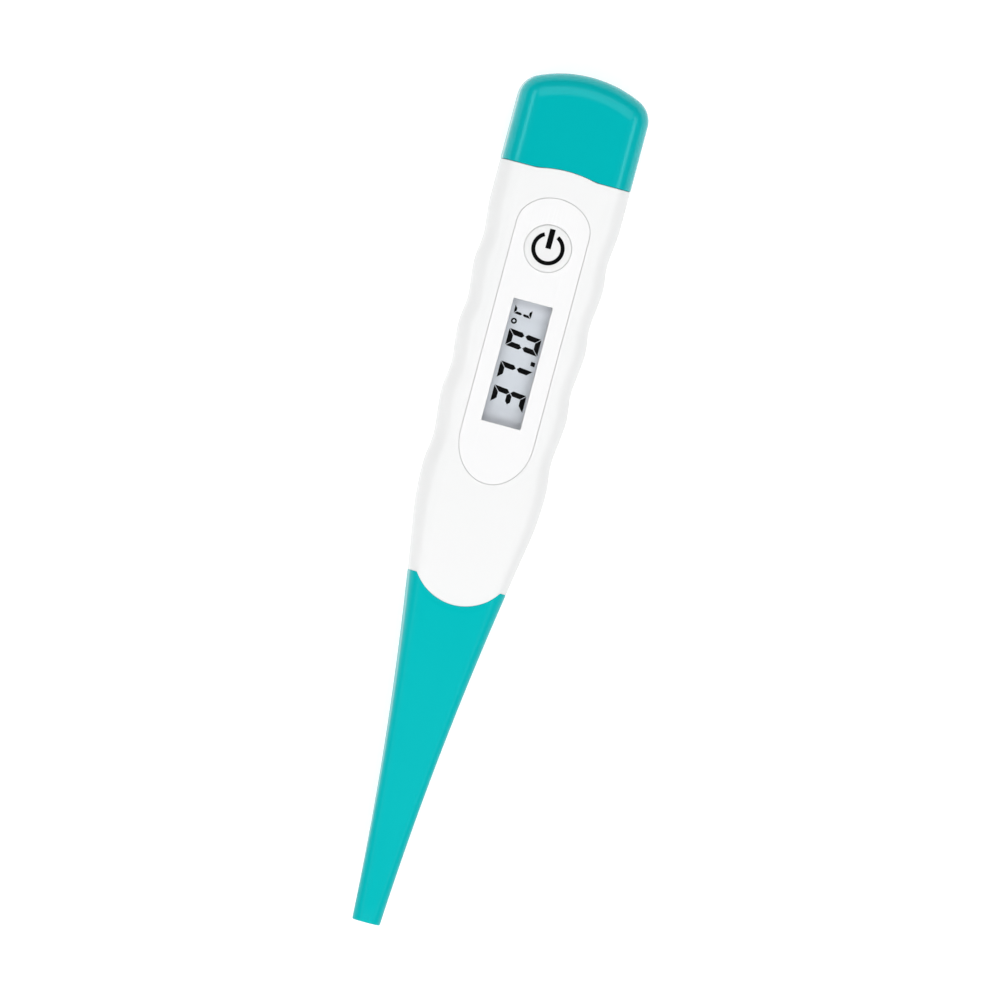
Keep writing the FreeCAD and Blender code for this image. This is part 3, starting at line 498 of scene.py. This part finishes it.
def displayMaterial():
    # grey polarising film on the rear glass: a silver grey, with painted light towards the
    # window's ends to cancel the shade that the window's end walls cast
    d = display
    material, tree, shader, spot = newMaterial("greyDisplayFilm", Roughness=0.35)
    axes = addNode(tree, "ShaderNodeSeparateXYZ", None, None, {"Vector": spot})
    middle = ((d["start"] + d["end"]) / 2 - body["length"] / 2) * mm
    reach = (d["end"] - d["start"]) / 2
    offset = addNode(tree, "ShaderNodeMath", {"operation": "SUBTRACT"}, {1: middle},
                     {0: axes.outputs["X"]})
    size = addNode(tree, "ShaderNodeMath", {"operation": "ABSOLUTE"}, None,
                   {0: offset.outputs["Value"]})
    share = addNode(tree, "ShaderNodeMapRange", {"interpolation_type": "SMOOTHSTEP"},
                    {"From Min": (reach - d["paintedLightFadeStart"]) * mm,
                     "From Max": (reach - d["paintedLightFadeEnd"]) * mm},
                    {"Value": size.outputs["Value"]})
    # painted light: the pale end colour near the window's ends, the film's own grey in the middle
    paint(tree, shader, d["paintedLightEndHex"], d["middleHex"], share.outputs["Result"])
    varyGloss(tree, shader, 0.32, 0.4, addNoise(tree, spot, 0.3))
    return material


laminate = laminateMaterial()
stripedSilicone = stripedSiliconeMaterial()
displayFilm = displayMaterial()
print("materials made")


# ---- housing

housing = {
    "wall": 1.45,
    "edgeBreak": 0.07,         # small bevel on the shells' meeting edges
    "rows": 170,
    "noseSpigotStart": 41.0, "noseSpigotEnd": 51.5, "noseSpigotInset": 1.3,
    "noseSpigotWall": 1.2,
    "spigotEnd": 117.45, "spigotHalfWidth": 8.0, "spigotHalfHeight": 4.5,
    "spigotCorner": 1.9, "spigotInnerCorner": 1.0, "spigotWall": 1.0, "spigotLap": 1.7,
    "collarStart": 1.5, "collarEnd": 0.3, "collarReach": 0.1,
    "sealStart": 113.05, "sealWidth": 1.1, "sealDepth": 0.45,
    "cutLap": 1.0,             # how far a cutter reaches past what it cuts
}


def shellGrid(level, inset, margin):
    # skin of one shell; its first and last rows keep a small break at the meeting edges
    h = housing
    gap = h["edgeBreak"]
    spots = [(s, level, q) for s, _, q in sectionSpots(1)]
    rows = []
    for i in range(h["rows"] + 1):
        t = i / h["rows"]
        atEnd = i in (0, h["rows"])
        row = []
        for j, spot in enumerate(spots):
            atSplit = j in (0, len(spots) - 1)
            pull = inset + (gap if margin and (atEnd or atSplit) else 0.0)
            x0 = settleOnEdge(noseEdge, spot, pull)
            x1 = settleOnEdge(capEdge, spot, pull)
            if margin and not atEnd:
                x0, x1 = x0 + gap, x1 - gap
                share = (i - 1) / (h["rows"] - 2)
            else:
                share = t
            x = x0 + (x1 - x0) * share
            y, z = ringPoint(x, spot, pull)
            if margin and j in (1, len(spots) - 2):
                z = body["midHeight"] + level * gap
            row.append((x, y, z))
        rows.append(row)
    return rows


def spigotPart(level, start, end, grow):
    # half of the spigot's tube, grown outwards by a little for the collar at its root
    h = housing
    skins = []
    for trim, corner in ((-grow, h["spigotCorner"]), (h["spigotWall"], h["spigotInnerCorner"])):
        grid = barRings(start, end, h["spigotHalfWidth"] - trim, h["spigotHalfHeight"] - trim,
                        corner, 1)
        skins.append([[(x, y, 2 * body["midHeight"] - z if level < 0 else z)
                       for x, y, z in row] for row in grid])
    return thickSheet("spigotPart", skins[0], skins[1], False)


def housingShell(name, level):
    h = housing
    shell = thickSheet(name, shellGrid(level, 0.0, True), shellGrid(level, h["wall"], False),
                       False)
    # stub inside the sleeve
    nose = []
    steps = 8
    for inset in (h["noseSpigotInset"], h["noseSpigotInset"] + h["noseSpigotWall"]):
        grid = []
        for i in range(steps + 1):
            t = i / steps
            x = h["noseSpigotStart"] * (1 - t) + h["noseSpigotEnd"] * t
            grid.append([(x, *ringPoint(x, (s, level, q), inset))
                         for s, _, q in sectionSpots(1, 2, 8, 4)])
        nose.append(grid)
    combine(shell, thickSheet("noseStub", nose[0], nose[1], False), "UNION")
    # spigot for the cap, and the seal's groove: a slice of the spigot less its core
    spigot = spigotPart(level, body["capStation"] - h["spigotLap"], h["spigotEnd"], 0.0)
    groove = solidBar("groove", h["sealStart"], h["sealStart"] + h["sealWidth"],
                      body["capHalfWidth"], body["midHeight"], body["bodyCorner"])
    core = solidBar("core", h["sealStart"] - h["cutLap"],
                    h["sealStart"] + h["sealWidth"] + h["cutLap"],
                    h["spigotHalfWidth"] - h["sealDepth"], h["spigotHalfHeight"] - h["sealDepth"],
                    h["spigotCorner"] - h["sealDepth"])
    combine(groove, core, "DIFFERENCE")
    combine(spigot, groove, "DIFFERENCE")
    # the collar reaches into the shell's wall, so that spigot and shell are one moulding
    collar = spigotPart(level, body["capStation"] - h["collarStart"],
                        body["capStation"] - h["collarEnd"], h["collarReach"])
    combine(spigot, collar, "UNION")
    return combine(shell, spigot, "UNION")


panel = {
    "start": 65.0, "end": 106.95, "halfWidth": 5.36, "longEnd": 6.6, "shortEnd": 4.5,
    "thickness": 0.35, "gap": 0.055, "edgeBreak": 0.04, "top": 12.0,
    "lensMargin": 0.6, "lensThickness": 0.8, "lensCorner": 0.2, "windowCorner": 0.15,
    "seatGap": 0.03, "lensFloorGap": 0.05,      # clearances under the panel and the window
    "cutLow": 8.0, "cutHigh": 14.0,             # heights that openings are cut between
}
button = {
    "station": 99.7, "radius": 3.45, "gap": 0.016, "shellGap": 0.02, "top": 12.2,
    "disc": 1.3, "edge": 0.35, "rimBreak": 0.05,
    "barHalfWidth": 1.0, "barReach": 1.1, "barThickness": 0.55, "barTop": 10.6,
    "neckReach": 3.1, "neckLap": 0.1, "neckDrop": 0.6,
    "plungerRadius": 1.0, "plungerBottom": 6.8, "plungerBreak": 0.15,
    "markRadius": 2.1, "markLine": 0.58, "markGap": 27, "markDepth": 0.08,
    "markBarWidth": 0.8, "markBarLength": 2.86, "markClearance": 0.012, "markLift": 0.005,
}


def panelOutline(grow, steps=48):
    p = panel
    left, right = p["start"] + p["longEnd"], p["end"] - p["shortEnd"]
    outline = []
    for centre, reach, first in ((right, p["shortEnd"] + grow, -90),
                                 (left, p["longEnd"] + grow, 90)):
        for i in range(steps + 1):
            angle = math.radians(first + 180 * i / steps)
            outline.append((centre + reach * math.cos(angle),
                            (p["halfWidth"] + grow) * math.sin(angle)))
    return outline


def boxOutline(x0, x1, half, corner, steps=6):
    outline = []
    for cx, cy, first in ((x1 - corner, half - corner, 0), (x0 + corner, half - corner, 90),
                          (x0 + corner, corner - half, 180), (x1 - corner, corner - half, 270)):
        for i in range(steps + 1):
            angle = math.radians(first + 90 * i / steps)
            outline.append((cx + corner * math.cos(angle), cy + corner * math.sin(angle)))
    return outline


def circleOutline(centre, radius, steps=96):
    return [(centre + radius * math.cos(2 * math.pi * i / steps),
             radius * math.sin(2 * math.pi * i / steps)) for i in range(steps)]


frontShell = housingShell("frontShell", 1)
rearShell = housingShell("rearShell", -1)
recess = panel["top"] - panel["thickness"] - panel["seatGap"]
lensReach = panel["lensMargin"] + panel["seatGap"]
lensOutline = boxOutline(display["start"] - lensReach, display["end"] + lensReach,
                         display["halfWidth"] + lensReach, panel["lensCorner"])
windowOutline = boxOutline(display["start"], display["end"], display["halfWidth"],
                           panel["windowCorner"])
buttonHole = circleOutline(button["station"], button["radius"] + button["shellGap"])
for outline, low in ((panelOutline(panel["gap"]), recess),
                     (lensOutline, recess - panel["lensThickness"] - panel["lensFloorGap"]),
                     (windowOutline, panel["cutLow"]), (buttonHole, panel["cutLow"])):
    combine(frontShell, prism("opening", outline, low, panel["cutHigh"]), "DIFFERENCE")
for shell, node in ((frontShell, "front_housing"), (rearShell, "rear_housing")):
    smooth(shell, 30, True)
    dress(shell, whiteAbs)
    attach(shell, "root")
    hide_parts(node)
print("housing made")


# ---- face panel: a filled flat curve with its edges broken

def filledPlate(name, outlines, low, high, edgeBreak):
    curve = bpy.data.curves.new(name, "CURVE")
    curve.dimensions = "2D"
    curve.fill_mode = "BOTH"
    for outline in outlines:
        line = curve.splines.new("POLY")
        line.points.add(len(outline) - 1)
        for point, (x, y) in zip(line.points, outline):
            point.co = ((x - body["length"] / 2) * mm, y * mm, 0, 1)
        line.use_cyclic_u = True
    curve.extrude = (high - low) / 2 * mm - edgeBreak * mm
    curve.bevel_depth = edgeBreak * mm
    curve.bevel_resolution = 2
    curve.offset = -edgeBreak * mm
    draft = newPiece(name + "Curve", curve)
    mesh = evaluatedMesh(draft)
    bpy.data.objects.remove(draft)
    mesh.transform(Matrix.Translation((0, 0, (low + high) / 2 * mm)))
    cleanMesh(mesh)
    return newPiece(name, mesh)


facePanel = filledPlate("facePanel",
                        [panelOutline(0.0), windowOutline,
                         circleOutline(button["station"], button["radius"] + button["gap"])],
                        panel["top"] - panel["thickness"], panel["top"], panel["edgeBreak"])
smooth(facePanel, 30, True)
dress(facePanel, panelAbs)
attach(facePanel, "root")
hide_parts("face_panel")


# ---- button and its mark

def markOutlines(grow):
    b = button
    inner, outer = b["markRadius"] - b["markLine"] / 2, b["markRadius"] + b["markLine"] / 2
    start, end = b["markGap"], 360 - b["markGap"]
    steps = 72
    angles = [math.radians(start + (end - start) * i / steps) for i in range(steps + 1)]
    ring = [(b["station"] + (outer + grow) * math.cos(a), (outer + grow) * math.sin(a))
            for a in angles]
    ring += [(b["station"] + (inner - grow) * math.cos(a), (inner - grow) * math.sin(a))
             for a in reversed(angles)]
    half = b["markBarWidth"] / 2 + grow
    x0, x1 = b["station"] - grow, b["station"] + b["markBarLength"] + grow
    return [ring, [(x0, -half), (x1, -half), (x1, half), (x0, half)]]


def buttonProfile():
    b = button
    bottom = b["top"] - b["disc"]
    profile = [(b["plungerRadius"] - b["plungerBreak"], b["plungerBottom"]),
               (b["plungerRadius"], b["plungerBottom"] + b["plungerBreak"]),
               (b["plungerRadius"], bottom), (b["radius"] - b["rimBreak"], bottom),
               (b["radius"], bottom + b["rimBreak"])]
    steps = 10
    for i in range(steps + 1):
        angle = math.radians(90 * i / steps)
        profile.append((b["radius"] - b["edge"] + b["edge"] * math.cos(angle),
                        b["top"] - b["edge"] + b["edge"] * math.sin(angle)))
    return profile


def crossBar(reach):
    half = button["barHalfWidth"]
    return [(button["station"] + sx * half, sy * reach)
            for sx, sy in ((-1, -1), (1, -1), (1, 1), (-1, 1))]


powerButton = ringSolid("powerButton", [[[(x, y, height) for x, y
                                          in circleOutline(button["station"], radius)]
                                         for radius, height in buttonProfile()]])
barBottom = button["barTop"] - button["barThickness"]
ears = prism("ears", crossBar(button["radius"] + button["barReach"]), barBottom, button["barTop"])
combine(powerButton, ears, "UNION")
neck = prism("neck", crossBar(button["neckReach"]), barBottom + button["neckLap"],
             button["top"] - button["neckDrop"])
combine(powerButton, neck, "UNION")
for outline in markOutlines(button["markClearance"]):
    cutter = prism("markRecess", outline, button["top"] - button["markDepth"], panel["cutHigh"])
    combine(powerButton, cutter, "DIFFERENCE")
smooth(powerButton, 30, True)
dress(powerButton, buttonAbs)
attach(powerButton, "button")
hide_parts("power_button")

markLow = button["top"] - button["markDepth"] + button["markLift"]
for part, outline in zip(("Ring", "Bar"), markOutlines(0.0)):
    mark = smooth(prism("powerMark" + part, outline, markLow, button["top"]))
    dress(mark, inkBlack)
    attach(mark, "button")
    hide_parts("power_mark")
print("panel and button made")


# ---- battery cap

cap = {
    "end": 125.0, "endRadius": 18.0, "planCorner": 3.6, "halfWidth": 9.5, "rim": 3.4,
    "edgeGap": 0.06, "edgeBreak": 0.08, "wall": 1.4, "innerStart": 108.0, "innerGap": 0.3,
    "innerEnd": 122.5, "innerCorner": 2.0,
    "deepHalfWidth": 6.0, "deepHalfHeight": 3.5, "deepCorner": 0.6,
    "tolerance": 0.001,
}


def capPlanLine():
    # one side of the plan outline with its inward normals, from the cap's edge to the middle of
    # the end: a straight side, a corner arc and the shallow end arc
    c = cap
    centreX = c["end"] - c["endRadius"]
    corner = c["planCorner"]
    cy = c["halfWidth"] - corner
    cx = centreX + math.sqrt((c["endRadius"] - corner) ** 2 - cy ** 2)
    turn = math.atan2(cy, cx - centreX)
    sideSteps, cornerSteps, endSteps = 14, 18, 16
    line = [((cx, c["halfWidth"]), (0.0, -1.0), 1 - i / sideSteps) for i in range(sideSteps + 1)]
    for i in range(1, cornerSteps + 1):
        angle = math.pi / 2 + (turn - math.pi / 2) * i / cornerSteps
        line.append(((cx + corner * math.cos(angle), cy + corner * math.sin(angle)),
                     (-math.cos(angle), -math.sin(angle)), 0.0))
    for i in range(1, endSteps + 1):
        angle = turn * (1 - i / endSteps)
        line.append(((centreX + c["endRadius"] * math.cos(angle),
                      c["endRadius"] * math.sin(angle)),
                     (-math.cos(angle), -math.sin(angle)), 0.0))
    return line


def capLoop(spot, inward):
    # whole cross-section of the cap's skin at one place of the plan line
    rim, mid = cap["rim"], body["midHeight"]
    arcSteps, flatSteps = 18, 5
    arc = [math.radians(90 * i / arcSteps) for i in range(arcSteps + 1)]
    levels = [(0.0, 0.0), (0.0, 0.5)]                          # (plan inset, height above middle)
    levels += [(rim - rim * math.cos(a), mid - rim + rim * math.sin(a)) for a in arc]
    corner = [(spot[0] + inward[0] * inset, spot[1] + inward[1] * inset, height)
              for inset, height in levels]
    flatX, flatY, top = corner[-1]
    corner += [(flatX, flatY * (1 - i / flatSteps), top) for i in range(1, flatSteps + 1)]
    return ([(x, y, mid + z) for x, y, z in corner]
            + [(x, -y, mid + z) for x, y, z in reversed(corner[:-1])]
            + [(x, -y, mid - z) for x, y, z in corner[1:]]
            + [(x, y, mid - z) for x, y, z in reversed(corner[1:-1])])


def onEdge(point, index, share):
    # slides a point of the straight sides towards the curved edge; the first two rows lie on it
    x, y, z = point
    first = capEdge(y) + cap["edgeGap"] + (cap["edgeBreak"] if index else 0.0)
    return (first if index < 2 else first + (x - first) * (1 - share), y, z)


def brokenIn(point):
    # pulls the outside of the first row in, which breaks the cap's rim
    x, y, z = point
    mid, drop, near = body["midHeight"], cap["edgeBreak"], cap["tolerance"]
    if abs(y) > cap["halfWidth"] - cap["rim"] + near:
        y -= math.copysign(drop, y)
    if abs(z - mid) > mid - cap["rim"] + near:
        z -= math.copysign(drop, z - mid)
    return (x, y, z)


def capSkin():
    rows = []
    for index, (spot, inward, share) in enumerate(capPlanLine()):
        loop = capLoop(spot, inward)
        if share > 0:
            loop = [onEdge(point, index, share) for point in loop]
        if index == 0:
            loop = [brokenIn(point) for point in loop]
        rows.append(loop)
    return rows


# the last loop lies flat, so that end needs no face
batteryCap = ringSolid("batteryCap", [capSkin()], openEnd=True)
combine(batteryCap, solidBar("hollow", cap["innerStart"], housing["spigotEnd"] + cap["innerGap"],
                             cap["halfWidth"] - cap["wall"], body["midHeight"] - cap["wall"],
                             cap["innerCorner"]), "DIFFERENCE")
combine(batteryCap, solidBar("deepHollow", housing["spigotEnd"], cap["innerEnd"],
                             cap["deepHalfWidth"], cap["deepHalfHeight"], cap["deepCorner"]),
        "DIFFERENCE")
smooth(batteryCap, 30, True)
dress(batteryCap, tealAbs)
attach(batteryCap, "cap")
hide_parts("battery_cap")
print("cap made")


# ---- rubber sleeve, one piece for each bend

sleeve = {
    "edgeGap": 0.03, "edgeBreak": 0.12, "edgeDepth": 0.072,
    "wall": 1.27, "tipWall": 0.51, "wallEnd": 16.0,
    "tipBreak": 0.25, "tipRows": 4, "rowStep": 0.5, "innerPull": 0.02,
    "start": 60.0, "halfZone": 3.5,    # a bend takes up this much each side of its hinge
}


def sleeveWall(x):
    t = min(x / sleeve["wallEnd"], 1.0)
    return sleeve["tipWall"] + (sleeve["wall"] - sleeve["tipWall"]) * t


def sleeveGrids(start, end):
    s = sleeve
    spots = sectionSpots(2)
    count = max(4, round((min(end, body["sleeveLength"]) - start) / s["rowStep"]))
    atTip, atNose = start == 0.0, end == s["start"]
    outer, inner = [], []
    for i in range(count + 1):
        t = i / count
        rowOut, rowIn = [], []
        for spot in spots:
            last = settleOnEdge(noseEdge, spot, 0.0) - s["edgeGap"] if atNose else end
            x = start + (last - start) * t
            pull = 0.0
            if atTip and i <= s["tipRows"]:                    # rounded end
                angle = math.radians(90 * i / s["tipRows"])
                x = s["tipBreak"] * (1 - math.cos(angle))
                pull = s["tipBreak"] * (1 - math.sin(angle))
            elif atNose and i >= count - 1:                    # broken edge beside the housing
                x = last if i == count else last - s["edgeBreak"]
                pull = s["edgeDepth"] if i == count else 0.0
            wall = sleeveWall(x) + (s["innerPull"] if pull else 0.0)
            rowOut.append((x, *ringPoint(x, spot, pull)))
            rowIn.append((x, *ringPoint(x, spot, wall)))
        outer.append(rowOut)
        inner.append(rowIn)
    return outer, inner


def bendBetween(piece):
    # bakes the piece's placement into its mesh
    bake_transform(piece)


seams = [sleeve["start"]] + [(a + b) / 2 for a, b in zip(hinges, hinges[1:])] + [0.0]
sleeveNames = ("sleeveBase", "sleeveUpper", "sleeveLower", "sleeveEnd")
sleeveNodes = (["sleeve_base"], ["sleeve_link_1"], ["sleeve_link_2"],
               ["sleeve_link_3", "sleeve_tip"])
for index, (name, nodes) in enumerate(zip(sleeveNames, sleeveNodes)):
    outer, inner = sleeveGrids(seams[index + 1], seams[index])
    part = smooth(thickSheet(name, outer, inner, True), 40)
    dress(part, tealRubber)
    bendBetween(part)
    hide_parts(*nodes)
print("sleeve made")


# ---- wires inside the probe

wires = {
    "radius": 0.15, "halfPitch": 0.45, "start": 1.7, "end": 53.0, "sides": 10, "step": 0.7,
    # the slack between the nose and the board, from where it starts to where it ends its bend
    "slack": [(53.0, 0.45), (54.6, 0.45), (56.3, 0.45), (56.9, 2.3), (57.4, 3.7), (60.0, 4.2),
              (62.7, 3.7), (63.2, 2.3), (63.8, 0.45), (65.6, 0.45), (68.15, 0.45)],
    "slackZone": (56.3, 64.5),
}


def tube(name, paths, radius):
    # closed round tubes along lists of points
    turn = [2 * math.pi * k / wires["sides"] for k in range(wires["sides"])]
    stacks = []
    for path in paths:
        rings = []
        for i, place in enumerate(path):
            a, b = Vector(path[max(i - 1, 0)]), Vector(path[min(i + 1, len(path) - 1)])
            ahead = (b - a).normalized()
            across = ahead.cross(Vector((0, 0, 1))).normalized()
            up = across.cross(ahead)
            rings.append([Vector(place) + (across * math.cos(t) + up * math.sin(t)) * radius
                          for t in turn])
        stacks.append(rings)
    return ringSolid(name, stacks)


def straightRun(x0, x1, side):
    count = max(2, round(abs(x1 - x0) / wires["step"]))
    return [(x0 + (x1 - x0) * i / count, side * wires["halfPitch"], body["midHeight"])
            for i in range(count + 1)]


wireSeams = [wires["end"]] + seams[1:4] + [wires["start"]]
wireNames = ("wiresBase", "wiresUpper", "wiresLower", "wiresEnd")
wireNodes = ("wires_link_1", "wires_link_2", "wires_link_3", "wires_tip")
for index, (name, node) in enumerate(zip(wireNames, wireNodes)):
    runs = [straightRun(wireSeams[index + 1], wireSeams[index], side) for side in (-1, 1)]
    part = dress(smooth(tube(name, runs, wires["radius"])), wireSkin)
    bendBetween(part)
    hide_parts(node)


def slackRun(side):
    # smooth line of a wire's slack between the nose and the board
    corners = wires["slack"]
    curve = bpy.data.curves.new("slackLine", "CURVE")
    curve.dimensions = "3D"
    line = curve.splines.new("NURBS")
    line.points.add(len(corners) - 1)
    for point, (x, y) in zip(line.points, corners):
        point.co = (x, side * y, body["midHeight"], 1)
    line.order_u = 3
    line.use_endpoint_u = True
    line.resolution_u = 6
    draft = newPiece("slackDraft", curve)
    mesh = evaluatedMesh(draft)
    path = [tuple(v.co) for v in mesh.vertices]
    bpy.data.objects.remove(draft)
    bpy.data.meshes.remove(mesh)
    return path


slackWires = dress(smooth(tube("slackWires", [slackRun(-1), slackRun(1)], wires["radius"])),
                   wireSkin)
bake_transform(slackWires)
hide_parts("sensor_wires")
print("wires made")


# ---- coil springs under the board, made by a node tree

springs = {"radius": 0.75, "wire": 0.24, "turns": 4.0, "stations": (76.95, 79.5),
           "bottoms": (1.83, 1.68), "top": 4.93, "height": 3.1, "coilSteps": 40, "sides": 12}


def springTree():
    tree = bpy.data.node_groups.new("coilSpring", "GeometryNodeTree")
    face = tree.interface
    face.new_socket("Geometry", in_out="OUTPUT", socket_type="NodeSocketGeometry")
    for name, value in (("Coil Radius", springs["radius"] * mm),
                        ("Height", springs["height"] * mm), ("Turns", springs["turns"]),
                        ("Wire Radius", springs["wire"] / 2 * mm)):
        face.new_socket(name, in_out="INPUT", socket_type="NodeSocketFloat").default_value = value
    face.new_socket("Place", in_out="INPUT", socket_type="NodeSocketVector")
    face.new_socket("Finish", in_out="INPUT", socket_type="NodeSocketMaterial")
    given = addNode(tree, "NodeGroupInput").outputs
    coil = addNode(tree, "GeometryNodeCurveSpiral", None, {"Resolution": springs["coilSteps"]},
                   {"Rotations": given["Turns"], "Start Radius": given["Coil Radius"],
                    "End Radius": given["Coil Radius"], "Height": given["Height"]})
    wire = addNode(tree, "GeometryNodeCurvePrimitiveCircle", None,
                   {"Resolution": springs["sides"]}, {"Radius": given["Wire Radius"]})
    solid = addNode(tree, "GeometryNodeCurveToMesh", None, {"Fill Caps": True},
                    {"Curve": coil.outputs["Curve"], "Profile Curve": wire.outputs["Curve"]})
    moved = addNode(tree, "GeometryNodeTransform", None, None,
                    {"Geometry": solid.outputs["Mesh"], "Translation": given["Place"]})
    real = addNode(tree, "GeometryNodeRealizeInstances", None, None,
                   {"Geometry": moved.outputs["Geometry"]})
    finish = addNode(tree, "GeometryNodeSetMaterial", None, None,
                     {"Geometry": real.outputs["Geometry"], "Material": given["Finish"]})
    addNode(tree, "NodeGroupOutput", None, None, {"Geometry": finish.outputs["Geometry"]})
    return tree


def growFromTree(name, tree, values):
    piece = newPiece(name, bpy.data.meshes.new(name))
    maker = piece.modifiers.new("maker", "NODES")
    maker.node_group = tree
    for item in tree.interface.items_tree:
        if item.item_type == "SOCKET" and item.in_out == "INPUT" and item.name in values:
            maker[item.identifier] = values[item.name]
    return freeze(piece)


coilTree = springTree()
for index, (station, bottom) in enumerate(zip(springs["stations"], springs["bottoms"])):
    coil = growFromTree("buzzerSpring" + "AB"[index], coilTree, {
        "Coil Radius": springs["radius"] * mm, "Turns": springs["turns"],
        "Height": (springs["top"] - bottom) * mm, "Wire Radius": springs["wire"] / 2 * mm,
        "Place": toMetres(station, 0, bottom), "Finish": springSteel})
    smooth(coil)
    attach(coil, "carrier")
    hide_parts("buzzer_springs")
print("springs made")


# ---- the rest keeps its shape and gets its finish

finishes = {
    "display_lens": acrylic, "cap_seal": sealRubber, "buzzer_plate": brass,
    "buzzer_ceramic": piezoCeramic, "board_carrier": carrierAbs, "circuit_board": laminate,
    "display_bezel": carrierAbs, "display_front_glass": frontGlass,
    "display_segments": crystalDark, "display_rear_glass": displayFilm,
    "display_reflector": foil, "conducting_strips": stripedSilicone, "chip_blob": epoxyBlack,
    "board_chips": chipBrown, "switch_dome": springSteel, "solder_joints": solder,
    "contact_positive": springSteel, "contact_negative": springSteel, "cell_can": cellSteel,
    "cell_seal": nylonSeal, "cell_cover": cellSteel, "sensor_cup": cupSteel,
    "sensor_bead": beadGlass, "tip_filling": resin,
}
for node, finish in finishes.items():
    dress(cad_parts[node], finish)
print("finishes given")


# ---- floor, lights and camera

studio = {
    "floorHalf": 5000.0, "floorDrop": 0.02, "lens": 700.0, "sensor": 36.0,
    "lean": 14.95,             # degrees that the probe leans in the view
    "tilt": 3.0,               # degrees that the camera stands towards +Y
    "across": 142.98,          # mm that the view spans at mid height
    "aside": 3.07,             # mm that the camera looks to one side of the middle
    "nearClip": 10.0,
    "skyLight": 0.14,
    "skyTop": 0.0056,          # darker opening straight overhead
    "openingStart": 0.94, "openingFull": 0.975,      # how steep: 0 is level, 1 is overhead
    "tableGlow": 0.48,         # light that the opal table gives from below
}


def plainFloor():
    half, low = studio["floorHalf"] * mm, -studio["floorDrop"] * mm
    mesh = bpy.data.meshes.new("floor")
    mesh.from_pydata([(sx * half, sy * half, low)
                      for sx, sy in ((-1, -1), (1, -1), (1, 1), (-1, 1))], [], [(0, 1, 2, 3)])
    floor = newPiece("floor", mesh)
    material, tree, shader, spot = newMaterial("opalLightTable", Roughness=0.9)
    shader.inputs["Specular IOR Level"].default_value = 0.1
    shader.inputs["Emission Color"].default_value = (1, 1, 1, 1)
    shader.inputs["Emission Strength"].default_value = studio["tableGlow"]
    paint(tree, shader, "#DCDCDC", "#D9D9D9", addNoise(tree, spot, 1.5, 4.0))
    mesh.materials.append(material)


# softboxes: place in metres, sizes across and along their slope, and power. Two large ones stand
# over the ends, and a narrow one on each side draws a bright line along the rounded edges.
softBoxes = {
    "boxTip": ((-0.69, 0.0, 0.98), 1.3, 0.9, 10.6),
    "boxCap": ((0.69, 0.0, 0.98), 1.3, 0.9, 6.8),
    "stripRight": ((0.0, -0.83, 0.73), 1.3, 0.30, 4.4),
    "stripLeft": ((0.0, 0.83, 0.73), 1.3, 0.30, 4.4),
}


def softBox(name, place, wide, deep, power):
    light = bpy.data.lights.new(name, "AREA")
    light.shape = "RECTANGLE"
    light.size, light.size_y = wide, deep
    light.energy = power
    lamp = bpy.data.objects.new(name, light)
    bpy.context.scene.collection.objects.link(lamp)
    lamp.visible_camera = False
    back = Vector(place).normalized()
    across = Vector((0, 0, 1)).cross(back).normalized()
    facing = Matrix((across, back.cross(across), back)).transposed()
    lamp.matrix_world = Matrix.Translation(place) @ facing.to_4x4()


def softSky():
    # a pale tent with a dark opening at its top
    sky = bpy.data.worlds.new("softTent")
    sky.use_nodes = True
    tree = sky.node_tree
    spot = addNode(tree, "ShaderNodeTexCoord").outputs["Generated"]
    up = addNode(tree, "ShaderNodeSeparateXYZ", None, None, {"Vector": spot}).outputs["Z"]
    glow = addNode(tree, "ShaderNodeMapRange", {"interpolation_type": "SMOOTHSTEP"},
                   {"From Min": studio["openingStart"], "From Max": studio["openingFull"],
                    "To Min": studio["skyLight"], "To Max": studio["skyTop"]}, {"Value": up})
    background = tree.nodes["Background"]
    background.inputs["Color"].default_value = (1, 1, 1, 1)
    tree.links.new(glow.outputs["Result"], background.inputs["Strength"])
    bpy.context.scene.world = sky


plainFloor()
softSky()
for name, facts in softBoxes.items():
    softBox(name, *facts)
bpy.context.scene.view_settings.view_transform = "Standard"

camera = bpy.data.objects.new("camera", bpy.data.cameras.new("camera"))
bpy.context.scene.collection.objects.link(camera)
camera.data.lens = studio["lens"]
camera.data.sensor_width = studio["sensor"]
distance = studio["across"] * mm * studio["lens"] / studio["sensor"]
tilt, lean = math.radians(studio["tilt"]), math.radians(studio["lean"])
back = Vector((0, math.sin(tilt), math.cos(tilt)))
along, across = Vector((1, 0, 0)), Vector((0, math.cos(tilt), -math.sin(tilt)))
right = along * math.sin(lean) - across * math.cos(lean)
up = along * math.cos(lean) + across * math.sin(lean)
target = Vector((0, 0, body["midHeight"] * mm)) + right * studio["aside"] * mm
camera.matrix_world = (Matrix.Translation(target + back * distance)
                       @ Matrix((right, up, back)).transposed().to_4x4())
camera.data.clip_start = studio["nearClip"] * mm
bpy.context.scene.camera = camera
print("studio made")
